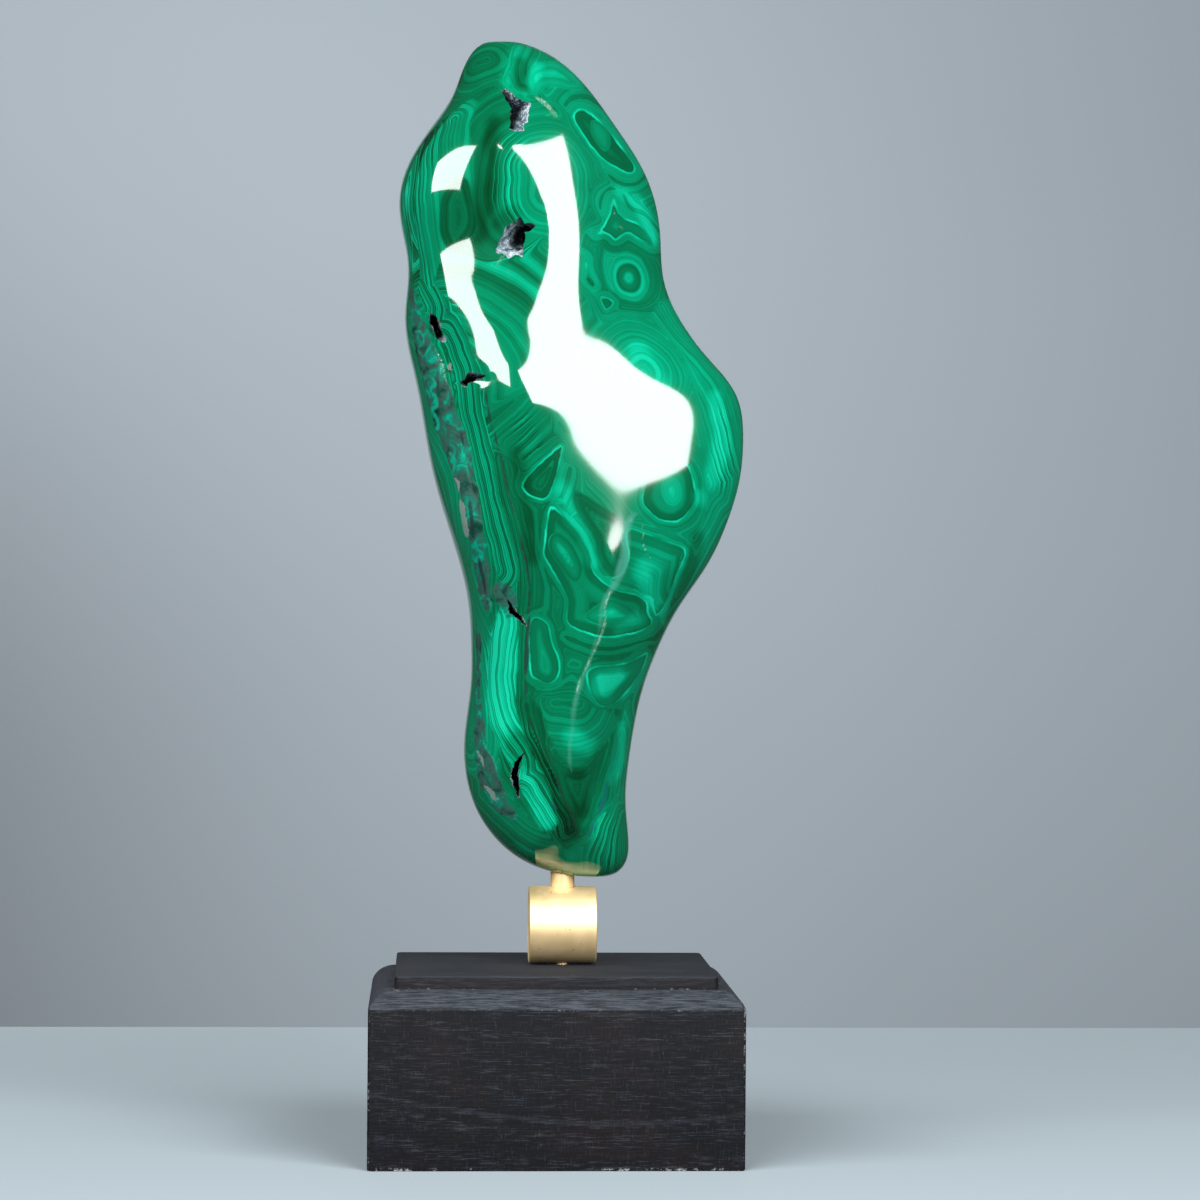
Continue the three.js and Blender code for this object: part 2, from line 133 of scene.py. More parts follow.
class Wire:  # one output socket of a material's nodes
    def __init__(self, tree, socket=None):
        self.tree = tree
        self.socket = socket

    def node(self, kind, settings=None, values=None, out=0):
        made = self.tree.nodes.new("ShaderNode" + kind)
        for name, setting in (settings or {}).items():
            if name == "stops":  # the places and colours of a ramp
                ramp = made.color_ramp
                while len(ramp.elements) < len(setting):
                    ramp.elements.new(0.5)
                for element, (place, colour) in zip(ramp.elements, setting):
                    element.position = place
                    element.color = (*colour, 1)
            else:
                setattr(made, name, setting)
        for key, value in (values or {}).items():
            if isinstance(value, Wire):
                self.tree.links.new(value.socket, made.inputs[key])
            else:
                made.inputs[key].default_value = value
        return Wire(self.tree, made.outputs[out])

    def sum(self, operation, *values):
        return self.node("Math", {"operation": operation}, dict(enumerate(values)))

    def __add__(self, other):
        return self.sum("ADD", self, other)

    def __radd__(self, other):
        return self.sum("ADD", other, self)

    def __sub__(self, other):
        return self.sum("SUBTRACT", self, other)

    def __rsub__(self, other):
        return self.sum("SUBTRACT", other, self)

    def __mul__(self, other):
        return self.sum("MULTIPLY", self, other)

    def __rmul__(self, other):
        return self.sum("MULTIPLY", other, self)

    def __truediv__(self, other):
        return self.sum("DIVIDE", self, other)

    def __lt__(self, other):
        return self.sum("LESS_THAN", self, other)

    def __gt__(self, other):
        return self.sum("GREATER_THAN", self, other)

    def __abs__(self):
        return self.sum("ABSOLUTE", self)

    def lower(self, other):
        return self.sum("MINIMUM", self, other)

    def higher(self, other):
        return self.sum("MAXIMUM", self, other)

    def clamped(self):
        return self.node("Clamp", None, {0: self})

    def between(self, low, high):  # a smooth step from 0 at low to 1 at high
        return self.node("MapRange", {"interpolation_type": "SMOOTHSTEP"}, {0: self, 1: low, 2: high})

    def towards(self, other, share):  # this number where share is 0, the other where it is 1
        return self.node("Mix", {"data_type": "FLOAT"}, {0: share, 2: self, 3: other})

    def mixed(self, first, second, share, blend="MIX"):  # from one colour to the other as share grows
        first, second = ((*end, 1) if isinstance(end, tuple) else end for end in (first, second))
        settings = {"data_type": "RGBA", "blend_type": blend}
        return self.node("Mix", settings, {0: share, 6: first, 7: second}, out=2)

    def dyed(self, colour, share):  # this colour with another one over it
        return self.mixed(self, colour, share)

    def speckle(self, size, detail=2.0, rough=0.5, twist=0.0):  # soft noise, about size metres across
        sockets = {"Vector": self, "Scale": 1 / size, "Detail": detail, "Roughness": rough,
                   "Distortion": twist}
        return self.node("TexNoise", None, sockets)

    def layers(self, size, detail=0.0):  # noise along one number, for bands
        sockets = {"W": self * (1 / size), "Scale": 1.0, "Detail": detail}
        return self.node("TexNoise", {"noise_dimensions": "1D"}, sockets)

    def stretched(self, size):  # coordinates scaled along each axis
        return self.node("Mapping", {"vector_type": "POINT"}, {0: self, 3: size})

    def attribute(self, name, out=1):  # a stored vector, or a stored number with out=2
        return self.node("Attribute", {"attribute_name": name}, out=out)

    def bumps(self, strength, distance):  # this number as a height
        return self.node("Bump", None, {"Strength": strength, "Distance": distance, "Height": self})

    def parts(self):  # the three numbers of a vector
        split = self.node("SeparateXYZ", None, {0: self})
        outputs = split.socket.node.outputs
        return [Wire(self.tree, outputs[i]) for i in range(3)]


def newMaterial(name):  # also gives the place on the piece, in metres
    material = bpy.data.materials.new(name)
    material.use_nodes = True
    material.node_tree.nodes.clear()
    wire = Wire(material.node_tree)
    return material, wire, wire.node("TexCoord", out=3)


def finished(material, wire, values):
    shader = wire.node("BsdfPrincipled", None, values)
    output = wire.tree.nodes.new("ShaderNodeOutputMaterial")
    wire.tree.links.new(shader.socket, output.inputs["Surface"])
    return material


# Where the photograph was taken from.

photo = {
    "frameWidth": 1200,  # pixels
    "pixelSize": 0.00033,  # how wide one of them is on the stone
    "lensMm": 104.535,
    "sensorMm": 36.0,
    "standpoint": (-0.04144, -1.1492, 0.1785),
    "turnRight": 2.8,  # this and the next two in degrees
    "lookUp": 0.13,
    "roll": 0.4,
    "clipEnd": 20,
}
standpoint = Matrix.Translation(photo["standpoint"])
turned = Matrix.Rotation(math.radians(-photo["turnRight"]), 4, "Z")
raised = Matrix.Rotation(math.radians(90 + photo["lookUp"]), 4, "X")
rolled = Matrix.Rotation(math.radians(photo["roll"]), 4, "Z")
photoView = standpoint @ turned @ raised @ rolled
lensPixels = photo["frameWidth"] * photo["lensMm"] / photo["sensorMm"]

cameraData = bpy.data.cameras.new("camera")
cameraData.lens = photo["lensMm"]
cameraData.sensor_width = photo["sensorMm"]
cameraData.clip_end = photo["clipEnd"]
camera = bpy.data.objects.new("camera", cameraData)
bpy.context.collection.objects.link(camera)
camera.matrix_world = photoView
bpy.context.scene.camera = camera


# The studio: three lamps, a faint world, and a table and wall of backdrop paper.

studio = {
    "softboxes": {  # angles in degrees, seen from what it is aimed at, from -Y towards +X and upwards
        "softboxRight": {"azimuth": 33.8, "elevation": 24.2, "distance": 1.4, "aimAt": (0, 0, 0.22),
                         "size": (1.02, 0.76), "leaning": 13.0, "watts": 37.5},
        "softboxLeft": {"azimuth": -40.5, "elevation": 25.6, "distance": 1.5, "aimAt": (0, 0, 0.22),
                        "size": (1.55, 0.66), "leaning": 0.0, "watts": 44},
    },
    "wallLamp": {"place": (-0.28, 0.75, 0.66), "aimAt": (-0.10, 1.6, -0.2), "size": (0.9, 0.2),
                 "watts": 7.4},
    "world": (0.30, 0.32, 0.34),
    "worldStrength": 0.14,
    "tableFront": -0.12,
    "tableFrontX": (-0.180, 0.200),  # from left to right, a little wider than the photograph shows
    "tableBack": 0.332,
    "tableBackX": (-0.235, 0.296),
    "wallPlace": 1.6,
    "wallMiddle": 1.0,
    "wallSize": (1.3, 4),
    "wallPaintedShade": 0.62,  # painted shade: how much darker the wall is low on the left
    "paperRough": 0.75,
    "tableColour": (0.296, 0.352, 0.384),
    "wallColour": (0.266, 0.308, 0.345),
}


def areaLamp(name, place, aimAt, size, watts, leaning=0.0):
    light = bpy.data.lights.new(name, "AREA")
    light.shape = "RECTANGLE"
    light.size, light.size_y = size
    light.energy = watts
    lamp = bpy.data.objects.new(name, light)
    bpy.context.collection.objects.link(lamp)
    lamp.location = place
    aimed = (Vector(aimAt) - Vector(place)).to_track_quat("-Z", "Y").to_matrix()
    lamp.rotation_euler = (aimed @ Matrix.Rotation(math.radians(leaning), 3, "Z")).to_euler()


for name, box in studio["softboxes"].items():
    azimuth, elevation = math.radians(box["azimuth"]), math.radians(box["elevation"])
    away = Vector((math.sin(azimuth) * math.cos(elevation), -math.cos(azimuth) * math.cos(elevation),
                   math.sin(elevation)))
    lampPlace = Vector(box["aimAt"]) + away * box["distance"]
    areaLamp(name, lampPlace, box["aimAt"], box["size"], box["watts"], box["leaning"])
areaLamp("wallLamp", *studio["wallLamp"].values())

world = bpy.data.worlds.new("studio")
bpy.context.scene.world = world
world.use_nodes = True
background = world.node_tree.nodes["Background"]
background.inputs["Color"].default_value = (*studio["world"], 1)
background.inputs["Strength"].default_value = studio["worldStrength"]
bpy.context.scene.view_settings.view_transform = "Standard"


def paperMaterial(name, colour):
    material, wire, place = newMaterial(name)
    cloudy = place.speckle(0.35, 1.0)
    dusted = place.speckle(0.004, 2.0)
    x, y, z = place.parts()
    # painted shade: the wall is coloured darker low on the left
    paintedShadeStrength = studio["wallPaintedShade"] if name == "wallPaper" else 0
    corner = (1 - x.between(-0.75, 0.15)) * (1 - z.between(0.0, 0.8)) * paintedShadeStrength
    shade = (cloudy * 0.06 + dusted * 0.02 + 0.96) * (1 - corner)
    base = wire.mixed(colour, shade, 1.0, "MULTIPLY")
    return finished(material, wire, {"Base Color": base, "Roughness": studio["paperRough"]})


def stageSheet(name, place, turn, size, colour):  # a flat sheet of backdrop paper
    bpy.ops.object.select_all(action="DESELECT")
    bpy.ops.mesh.primitive_plane_add(size=1, location=place, rotation=turn)
    sheet = bpy.context.object
    sheet.name = name
    sheet.scale = (*size, 1)
    settle(sheet)
    sheet.data.materials.append(paperMaterial(name + "Paper", colour))
    return sheet


tableMiddle = (studio["tableFront"] + studio["tableBack"]) / 2
tableDepth = studio["tableBack"] - studio["tableFront"]
table = stageSheet("table", (0, tableMiddle, 0), (0, 0, 0), (1, tableDepth), studio["tableColour"])
for vertex in table.data.vertices:  # its corners are put where they belong
    left, right = studio["tableFrontX"] if vertex.co.y < 0 else studio["tableBackX"]
    vertex.co.x = left if vertex.co.x < 0 else right
table.visible_glossy = False  # the photograph shows no trace of the table in the polish
stageSheet("wall", (0, studio["wallPlace"], studio["wallMiddle"]), (math.radians(90), 0, 0),
           studio["wallSize"], studio["wallColour"])
print("camera, lights and backdrop made")


# The malachite stone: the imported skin, smoothed, with its cavities cut again with rough walls.

axisX = 0.003  # the pin, the middle of the barrel and the stud all stand here

stone = {
    "smoothing": 2,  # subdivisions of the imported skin
    "smoothBelow": 40,  # degrees
    "holeRadiusMm": 4.25, "holeFootMm": 60.0, "holeTopMm": 112.3,
    "clearRadiusMm": 5.2, "clearTopMm": 116.0,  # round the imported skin's own hole
    "overPin": {"placeMm": (5.0, -14.9, 95.5), "startMm": 2.2, "pushMm": 4.6, "reachMm": 12.5},
    "mouth": -0.055,  # where the cavities' cutters begin, in front of the stone
    "crystalSize": 0.0022, "crystalRelief": 0.0016,
    "cavitiesMm": {  # outlines where they meet the surface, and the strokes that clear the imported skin
        "upperVug": {
            "surfaceY": -17.2, "floorY": -11, "drawnIn": 0.45, "leaning": (-3.0, -1.6),
            "clear": [(-18, 346, 4.5), (-15, 341, 6), (-17, 335, 5)],
            "outline": [(-19.2, 348.4), (-17.6, 348.6), (-16.2, 346.4), (-13.8, 344.2), (-10.2, 342.4),
                        (-11.2, 340.2), (-11.9, 338.0), (-13.5, 336.3), (-14.5, 334.0), (-17.0, 333.6),
                        (-18.2, 334.0), (-17.2, 337.0), (-16.7, 339.8), (-17.6, 343.6)],
        },
        "middleVug": {
            "surfaceY": -25, "floorY": -12, "drawnIn": 0.55, "leaning": (3.0, 1.4),
            "clear": [(-12, 302, 5.8), (-15, 298, 6.8), (-17, 294, 6.3)],
            "outline": [(-13.4, 305.0), (-12.4, 303.4), (-11.8, 302.2), (-9.4, 302.3), (-7.2, 301.6),
                        (-9.6, 300.6), (-11.6, 299.6), (-11.9, 296.0), (-12.2, 292.4), (-16.2, 292.2),
                        (-20.4, 293.2), (-19.4, 297.2), (-17.4, 301.6), (-14.4, 302.6)],
        },
        "lowerCrevice": {
            "surfaceY": -22, "floorY": -8, "drawnIn": 0.4,
            "clear": [(-11.5, 130, 3.5), (-13.2, 124, 4), (-13, 118, 3.5)],
            "outline": [(-10.4, 131.4), (-11.6, 128.8), (-12.4, 126.0), (-12.1, 123.4), (-12.0, 121.0),
                        (-11.9, 118.4), (-12.2, 116.2), (-13.4, 119.4), (-14.8, 122.4), (-14.6, 125.4),
                        (-13.8, 128.0), (-12.4, 130.4)],
        },
        "crossCrack": {
            "surfaceY": -28.5, "floorY": -16, "drawnIn": 0.5,
            "clear": [(-31, 250, 4), (-25.5, 252.5, 3.5)],
            "outline": [(-32.4, 250.6), (-30.8, 252.4), (-29.0, 253.8), (-26.6, 253.0), (-24.4, 252.6),
                        (-26.6, 251.6), (-28.6, 250.8), (-29.8, 249.4), (-31.0, 248.6)],
        },
        "bandGap": {
            "surfaceY": -25, "floorY": -14, "drawnIn": 0.5,
            "clear": [(-15, 179, 4), (-11.5, 174.5, 3.5)],
            "outline": [(-16.4, 180.8), (-15.2, 179.8), (-14.2, 178.4), (-11.8, 175.4), (-9.6, 172.0),
                        (-12.0, 173.4), (-13.6, 175.2), (-15.6, 176.6)],
        },
        "ledgePit": {
            "surfaceY": -21, "floorY": -8, "drawnIn": 0.5,
            "clear": [(-41.5, 273, 3.5), (-38, 265.5, 3.5)],
            "outline": [(-42.4, 274.0), (-41.0, 273.4), (-40.0, 272.6), (-38.4, 269.0), (-37.0, 264.6),
                        (-39.4, 264.8), (-40.4, 267.2), (-41.8, 269.4), (-42.0, 272.0)],
        },
    },
}


def strokeDistance(points, spine, radii):  # how far points are from a stroke of changing radius
    if len(spine) == 1:
        return np.linalg.norm(points - spine[0], axis=1) - radii[0]
    nearest = np.full(len(points), 1e9)
    for start, end, startRadius, endRadius in zip(spine, spine[1:], radii, radii[1:]):
        along = end - start
        offset = points - start
        share = np.clip(offset @ along / max(along @ along, 1e-12), 0, 1)
        gap = np.linalg.norm(offset - share[:, None] * along, axis=1)
        nearest = np.minimum(nearest, gap - startRadius - (endRadius - startRadius) * share)
    return nearest


def inStroke(x, z, stroke):  # whether a place on the front, in millimetres, is inside a stroke
    places = np.array(stroke, float)
    return strokeDistance(np.array([[x, z]]), places[:, :2], places[:, 2])[0] < 0


def patchedSkin():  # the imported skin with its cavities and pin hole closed, then smoothed
    piece = copyOfNode("malachite_stone", "malachite_freeform")
    strokes = [cavity["clear"] for cavity in stone["cavitiesMm"].values()]

    def worn(centre, normal):
        x, y, z = (value / mm for value in centre)
        if math.hypot(x - axisX / mm, y) < stone["clearRadiusMm"] and z < stone["clearTopMm"]:
            return True
        return y < 2 and any(inStroke(x, z, stroke) for stroke in strokes)

    editFaces(piece, worn)
    bpy.ops.mesh.delete(type="FACE")
    bpy.ops.mesh.select_all(action="SELECT")
    bpy.ops.mesh.fill_holes(sides=0)
    bpy.ops.mesh.select_all(action="SELECT")
    bpy.ops.mesh.tris_convert_to_quads(face_threshold=math.pi, shape_threshold=math.pi)
    doneEditing()
    withModifier(piece, "SUBSURF", levels=stone["smoothing"], render_levels=stone["smoothing"])
    hollow = stone["overPin"]  # the front is dished over the pin
    place = Vector(hollow["placeMm"]) * mm
    editFaces(piece, lambda centre, normal: (centre - place).length < hollow["startMm"] * mm)
    bpy.ops.transform.translate(
        value=(0, hollow["pushMm"] * mm, 0), use_proportional_edit=True, use_proportional_connected=True,
        proportional_edit_falloff="SMOOTH", proportional_size=hollow["reachMm"] * mm)
    doneEditing()
    return piece


def cavityCutter(name, cavity, material):  # the outline drawn inwards, with rough walls
    outline = [(x * mm, z * mm) for x, z in cavity["outline"]]
    mouth, surface, floorY = stone["mouth"], cavity["surfaceY"] * mm, cavity["floorY"] * mm
    spread = cavity["drawnIn"] / (floorY - surface)
    middleX, middleZ = (sum(values) / len(outline) for values in zip(*outline))
    bpy.ops.object.select_all(action="DESELECT")
    bpy.ops.mesh.primitive_circle_add(vertices=len(outline), fill_type="NGON", location=(0, 0, 0))
    cutter = bpy.context.object
    cutter.name = name
    mouthShare = 1 + spread * (surface - mouth)
    leanX, leanZ = (lean * mm for lean in cavity.get("leaning", (0, 0)))
    pull = (mouth - surface) / (floorY - surface)
    startX, startZ = middleX + leanX * pull, middleZ + leanZ * pull
    for vertex, (x, z) in zip(cutter.data.vertices, outline):
        vertex.co = (startX + (x - middleX) * mouthShare, mouth, startZ + (z - middleZ) * mouthShare)
    bpy.ops.object.mode_set(mode="EDIT")
    bpy.ops.mesh.select_all(action="SELECT")
    bpy.ops.mesh.extrude_region_move(TRANSFORM_OT_translate={"value": (0, floorY - mouth, 0)})
    floorShare = (1 - cavity["drawnIn"]) / mouthShare
    bpy.ops.transform.resize(value=(floorShare, 1, floorShare), center_override=(startX, floorY, startZ))
    bpy.ops.transform.translate(value=(leanX * (1 - pull), 0, leanZ * (1 - pull)))
    bpy.ops.mesh.select_all(action="SELECT")
    bpy.ops.mesh.normals_make_consistent(inside=False)
    bpy.ops.mesh.quads_convert_to_tris()
    bpy.ops.mesh.subdivide(number_cuts=2)
    bpy.ops.mesh.quads_convert_to_tris()
    bpy.ops.mesh.subdivide(number_cuts=2)
    doneEditing()
    cutter.data.materials.append(material)
    crystals = bpy.data.textures.new(name + "Crystals", "VORONOI")
    crystals.noise_scale = stone["crystalSize"]
    withModifier(cutter, "DISPLACE", texture=crystals, strength=stone["crystalRelief"], mid_level=0.5)
    return cutter


def pinHoleCutter(material):
    low, high = stone["holeFootMm"] * mm, stone["holeTopMm"] * mm
    place = (axisX, 0, (low + high) / 2)
    cutter = newRod("pinHole", stone["holeRadiusMm"] * mm, high - low, place, around=48)
    cutter.data.materials.append(material)
    return cutter


# Growth. The stone's bands run at equal distances from places where it began to grow. Every entry has an
# area or an outline, where it holds. Its bands are counted from its thread, from the entry that it lies
# around, or from its own edge. Points are (x, y) on the 1200 x 1200 photograph, in pixels, and the third
# number of an area's points is its radius there. Ground entries meet where they're equally near. Cells
# lie over the ground, and cores over the cells. Tone is from -1, dark, to 1, light, heart is the tone
# deep inside, and a rim is a bright outline.
growth = {
    "ground": {
        "topArcs": {"area": [(468, 72, 12), (490, 58, 14)], "thread": [(476, 66), (486, 62)],
            "tone": -0.4},
        "topMiddle": {"area": [(526, 62, 12), (528, 84, 8)], "thread": [(512, 44), (504, 62), (504, 80),
            (514, 94), (538, 98)], "tone": 0},
        "topRight": {"area": [(552, 76, 16), (580, 92, 18), (605, 130, 26), (630, 165, 22),
            (648, 200, 8)], "around": "darkEye", "tone": 0.1},
        "bigEyeCollar": {"area": [(549, 170, 52), (549, 196, 50)], "thread": [(549, 174), (549, 194)],
            "tone": 0.05},
        "darkSide": {"area": [(496, 110, 12), (486, 140, 10), (482, 180, 12), (484, 220, 12),
            (492, 246, 8)], "thread": [(549, 174), (549, 194)], "tone": -0.45},
        "sweep": {"area": [(480, 275, 10), (505, 285, 18), (525, 320, 20), (510, 350, 20),
            (500, 385, 12)], "thread": [(440, 398)], "tone": 0.1},
        "waistSweep": {"area": [(545, 240, 14), (548, 280, 14)], "thread": [(440, 398)], "tone": 0.25},
        "diagonals": {"area": [(518, 415, 14), (540, 420, 14), (530, 450, 14), (550, 440, 8)],
            "thread": [(560, 330), (525, 363), (474, 408), (450, 430)], "tone": -0.15},
        "waves": {"area": [(598, 200, 12), (612, 206, 12), (634, 216, 16), (645, 230, 10)],
            "around": "chevron", "tone": 0.3},
        "ringCollar": {"outline": [(598, 239), (603, 237), (611, 240), (615, 246), (627, 243), (640, 247),
            (650, 256), (656, 270), (656, 288), (650, 300), (637, 307), (619, 306), (603, 299),
            (596, 287), (593, 266), (595, 253)], "tone": 0},
        "beside": {"area": [(592, 240, 14), (590, 280, 12)], "around": "ringCollar", "tone": 0.3},
        "fan": {"area": [(640, 365, 46), (650, 385, 40)], "thread": [(643, 373)], "tone": 0.4},
        "underLight": {"area": [(575, 300, 14), (565, 360, 26), (590, 410, 40)], "thread": [(643, 373)],
            "tone": 0.3},
        "rightEdge": {"area": [(665, 312, 5), (690, 346, 8), (712, 384, 14), (724, 430, 17),
            (722, 475, 14), (710, 520, 11), (695, 555, 8), (682, 582, 5)], "thread": [(655, 290),
            (672, 322), (700, 354), (730, 395), (741, 440), (740, 485), (724, 530), (700, 575),
            (668, 622)], "tone": 0.45},
        "belowLight": {"area": [(556, 478, 8), (575, 490, 10)], "around": "teardrop", "tone": 0.2},
        "darkFlow": {"area": [(592, 494, 12), (606, 520, 15), (614, 552, 12)], "around": "keelShape",
            "tone": 0.15},
        "ovalEyeCollar": {"area": [(675, 480, 32), (678, 505, 32)], "thread": [(674, 486), (676, 502)],
            "tone": 0.2},
        "leftOfKeel": {"area": [(512, 470, 8), (528, 520, 10), (537, 570, 12), (542, 620, 12),
            (546, 670, 10)], "thread": [(500, 440), (516, 500), (528, 560), (530, 620), (527, 700)],
            "tone": -0.25},
        "wavesBelow": {"area": [(556, 640, 4), (570, 650, 8), (600, 650, 10), (630, 648, 8)],
            "around": "keelShape", "tone": -0.2},
        "hangingArcs": {"area": [(565, 690, 14), (580, 712, 18), (580, 745, 14)], "around": "bowl",
            "tone": -0.05},
        "wedge": {"thread": [(572, 640), (580, 682)], "tone": -0.3},  # where the cell of its name is
        "darkStripes": {"area": [(536, 728, 6), (550, 760, 8), (563, 795, 7), (573, 826, 5)],
            "thread": [(527, 700), (533, 735), (560, 788), (578, 838)], "tone": -0.6},
        "seamStripes": {"area": [(614, 715, 7), (607, 755, 8), (596, 790, 7), (585, 828, 5)],
            "thread": [(628, 690), (618, 745), (603, 790), (583, 842)], "tone": -0.2},
        "lowerRightEdge": {"area": [(634, 680, 5), (628, 730, 8), (623, 775, 7)], "thread": [(642, 680),
            (633, 740), (627, 790)], "tone": 0.2},
        "rightLobe": {"area": [(605, 830, 16), (606, 854, 14)], "thread": [(632, 800), (624, 835),
            (624, 872)], "tone": 0.15},
        "leftLobe": {"area": [(478, 806, 10), (500, 834, 12), (532, 852, 10)], "thread": [(466, 770),
            (474, 805), (500, 838), (530, 860), (560, 870)], "tone": -0.1},
        "leftEdgeBand": {"area": [(424, 420, 3), (434, 460, 4), (447, 505, 4), (460, 550, 4),
            (468, 595, 4), (474, 640, 4), (474, 700, 4), (470, 750, 4)], "thread": [(418, 400),
            (428, 450), (445, 510), (464, 590), (472, 650), (470, 740)], "tone": 0.25},
    },
    "cells": {
        "stripTop": {"area": [(470, 106, 8), (452, 130, 18), (442, 160, 30), (440, 190, 32),
            (436, 220, 28), (430, 250, 18), (428, 274, 12), (430, 292, 8)], "thread": [(456, 118),
            (449, 150), (452, 200), (458, 240), (470, 300)], "tone": 0.25},
        "strip": {"area": [(424, 284, 10), (434, 303, 14), (446, 328, 18), (456, 356, 19), (463, 385, 19),
            (470, 412, 18), (477, 440, 16), (483, 468, 14), (489, 496, 13), (496, 525, 13),
            (502, 552, 13), (507, 576, 11)], "thread": [(412, 278), (430, 318), (444, 348), (454, 382),
            (460, 420), (470, 468), (482, 520), (492, 570)], "tone": 0.15},
        "stripLow": {"area": [(508, 620, 12), (505, 650, 16), (502, 690, 17), (505, 722, 15),
            (517, 752, 13), (537, 790, 14), (548, 822, 9)], "thread": [(486, 620), (484, 690), (490, 732),
            (512, 775), (538, 822), (552, 845)], "tone": 0.65},
        "bigEye": {"area": [(549, 172, 44), (549, 196, 42)], "thread": [(549, 174), (549, 194)],
            "tone": 0.3},
        "hook": {"outline": [(525, 76), (534, 65), (553, 62), (572, 73), (585, 89), (572, 92), (559, 89),
            (546, 87), (537, 97), (530, 90)], "tone": 0.8, "heart": 0.2},
        "darkEye": {"outline": [(574, 115), (585, 111), (601, 122), (618, 141), (634, 161), (636, 170),
            (626, 172), (609, 162), (591, 145), (578, 128)], "tone": -0.3, "heart": -0.8, "rim": 1},
        "ringEye": {"area": [(629, 280, 23)], "thread": [(629, 280)], "tone": 0.75},
        "chevron": {"outline": [(613, 199), (619, 212), (629, 221), (640, 225), (648, 234), (652, 246),
            (640, 240), (628, 235), (617, 242), (612, 237), (604, 233), (598, 235), (604, 227),
            (610, 216)], "tone": 0, "rim": 1},
        "sliver": {"outline": [(586, 259), (587, 272), (592, 281), (595, 287), (588, 284), (584, 276)],
            "tone": -0.2, "rim": 1},
        "lowTriangle": {"outline": [(599, 297), (613, 304), (605, 312)], "tone": -0.15, "rim": 1},
        "teardrop": {"outline": [(563, 446), (550, 455), (536, 466), (526, 477), (523, 486), (529, 494),
            (541, 499), (548, 495), (554, 483), (560, 465)], "tone": -0.5, "heart": -0.9, "rim": 1},
        "keelShape": {"outline": [(550, 506), (547, 524), (546, 542), (545, 557), (553, 571), (563, 588),
            (568, 601), (566, 621), (576, 630), (596, 637), (618, 636), (642, 633), (654, 626),
            (650, 615), (648, 601), (637, 594), (618, 590), (603, 582), (594, 568), (590, 550),
            (580, 534), (566, 520), (556, 511)], "tone": -0.3, "heart": -0.65, "rim": 1},
        "darkTongue": {"outline": [(576, 491), (594, 502), (614, 512), (623, 522), (622, 538), (625, 556),
            (622, 570), (614, 576), (605, 568), (598, 554), (596, 540), (586, 526), (576, 512),
            (571, 499)], "tone": -0.25, "heart": -0.75},
        "ovalEye": {"outline": [(653, 474), (666, 462), (682, 461), (693, 470), (696, 490), (691, 509),
            (678, 521), (662, 521), (650, 512), (643, 499), (646, 485)], "tone": -0.35, "heart": -0.1,
            "rim": 1},
        "mitten": {"outline": [(630, 527), (648, 534), (668, 541), (685, 549), (684, 560), (679, 573),
            (674, 588), (667, 606), (657, 618), (654, 606), (651, 596), (620, 585), (608, 578),
            (622, 573), (629, 556), (627, 540)], "thread": [(630, 524), (668, 538), (688, 548),
            (682, 580)], "tone": -0.1, "heart": 0.8, "rim": 1},
        "hump": {"outline": [(530, 622), (539, 616), (548, 624), (551, 640), (558, 660), (557, 676),
            (548, 683), (537, 680), (530, 672)], "tone": -0.1, "heart": -0.15, "rim": 1},
        "rounded": {"outline": [(586, 674), (592, 668), (612, 665), (629, 662), (645, 654), (650, 655),
            (640, 673), (629, 687), (617, 701), (606, 707), (597, 702), (591, 692), (587, 682)],
            "tone": 0.1, "heart": 0.2, "rim": 1},
        "bowl": {"outline": [(540, 700), (552, 697), (573, 695), (594, 706), (609, 712), (618, 722),
            (606, 742), (588, 762), (577, 768), (566, 756), (550, 735)], "thread": [(556, 702),
            (582, 704)], "tone": 0, "heart": 0.2},
        "wedge": {"outline": [(546, 742), (560, 760), (577, 772), (590, 766), (609, 742), (602, 770),
            (590, 802), (578, 826), (566, 800), (556, 770)], "tone": -0.25, "heart": -0.6},
        "bluishLoop": {"outline": [(618, 722), (624, 740), (623, 762), (613, 786), (606, 782), (612, 760),
            (615, 738)], "tone": 0.5, "heart": 0.25},
    },
    "cores": {
        "almond": {"outline": [(449, 180), (466, 178), (476, 210), (477, 226), (468, 241), (456, 254),
            (445, 246), (439, 226), (441, 200)], "tone": -0.6, "heart": -1.2},
        "ringCore": {"area": [(629, 280, 15)], "tone": -0.4, "heart": 0.4},
        "darkEyeCore": {"outline": [(591, 122), (599, 122), (609, 132), (611, 143), (606, 150),
            (598, 143), (592, 132)], "tone": 0.1, "heart": 0.5, "rim": 1},
        "tearCore": {"outline": [(555, 460), (546, 470), (537, 478), (535, 485), (541, 488), (548, 480)],
            "tone": -0.6, "heart": -0.2, "rim": 1},
        "ovalCore": {"outline": [(664, 480), (672, 476), (681, 482), (683, 495), (677, 505), (668, 504),
            (662, 493)], "tone": 0.9, "rim": 1},
        "keelRing": {"outline": [(551, 539), (558, 534), (570, 542), (579, 556), (583, 570), (580, 581),
            (573, 581), (564, 571), (554, 558), (550, 547)], "tone": -0.2, "heart": 0.5, "rim": 1},
        "halfMoon": {"outline": [(585, 618), (596, 608), (610, 600), (622, 602), (634, 611), (642, 620),
            (638, 625), (622, 626), (606, 627), (590, 624)], "tone": 0, "heart": 0.6, "rim": 1},
    },
}

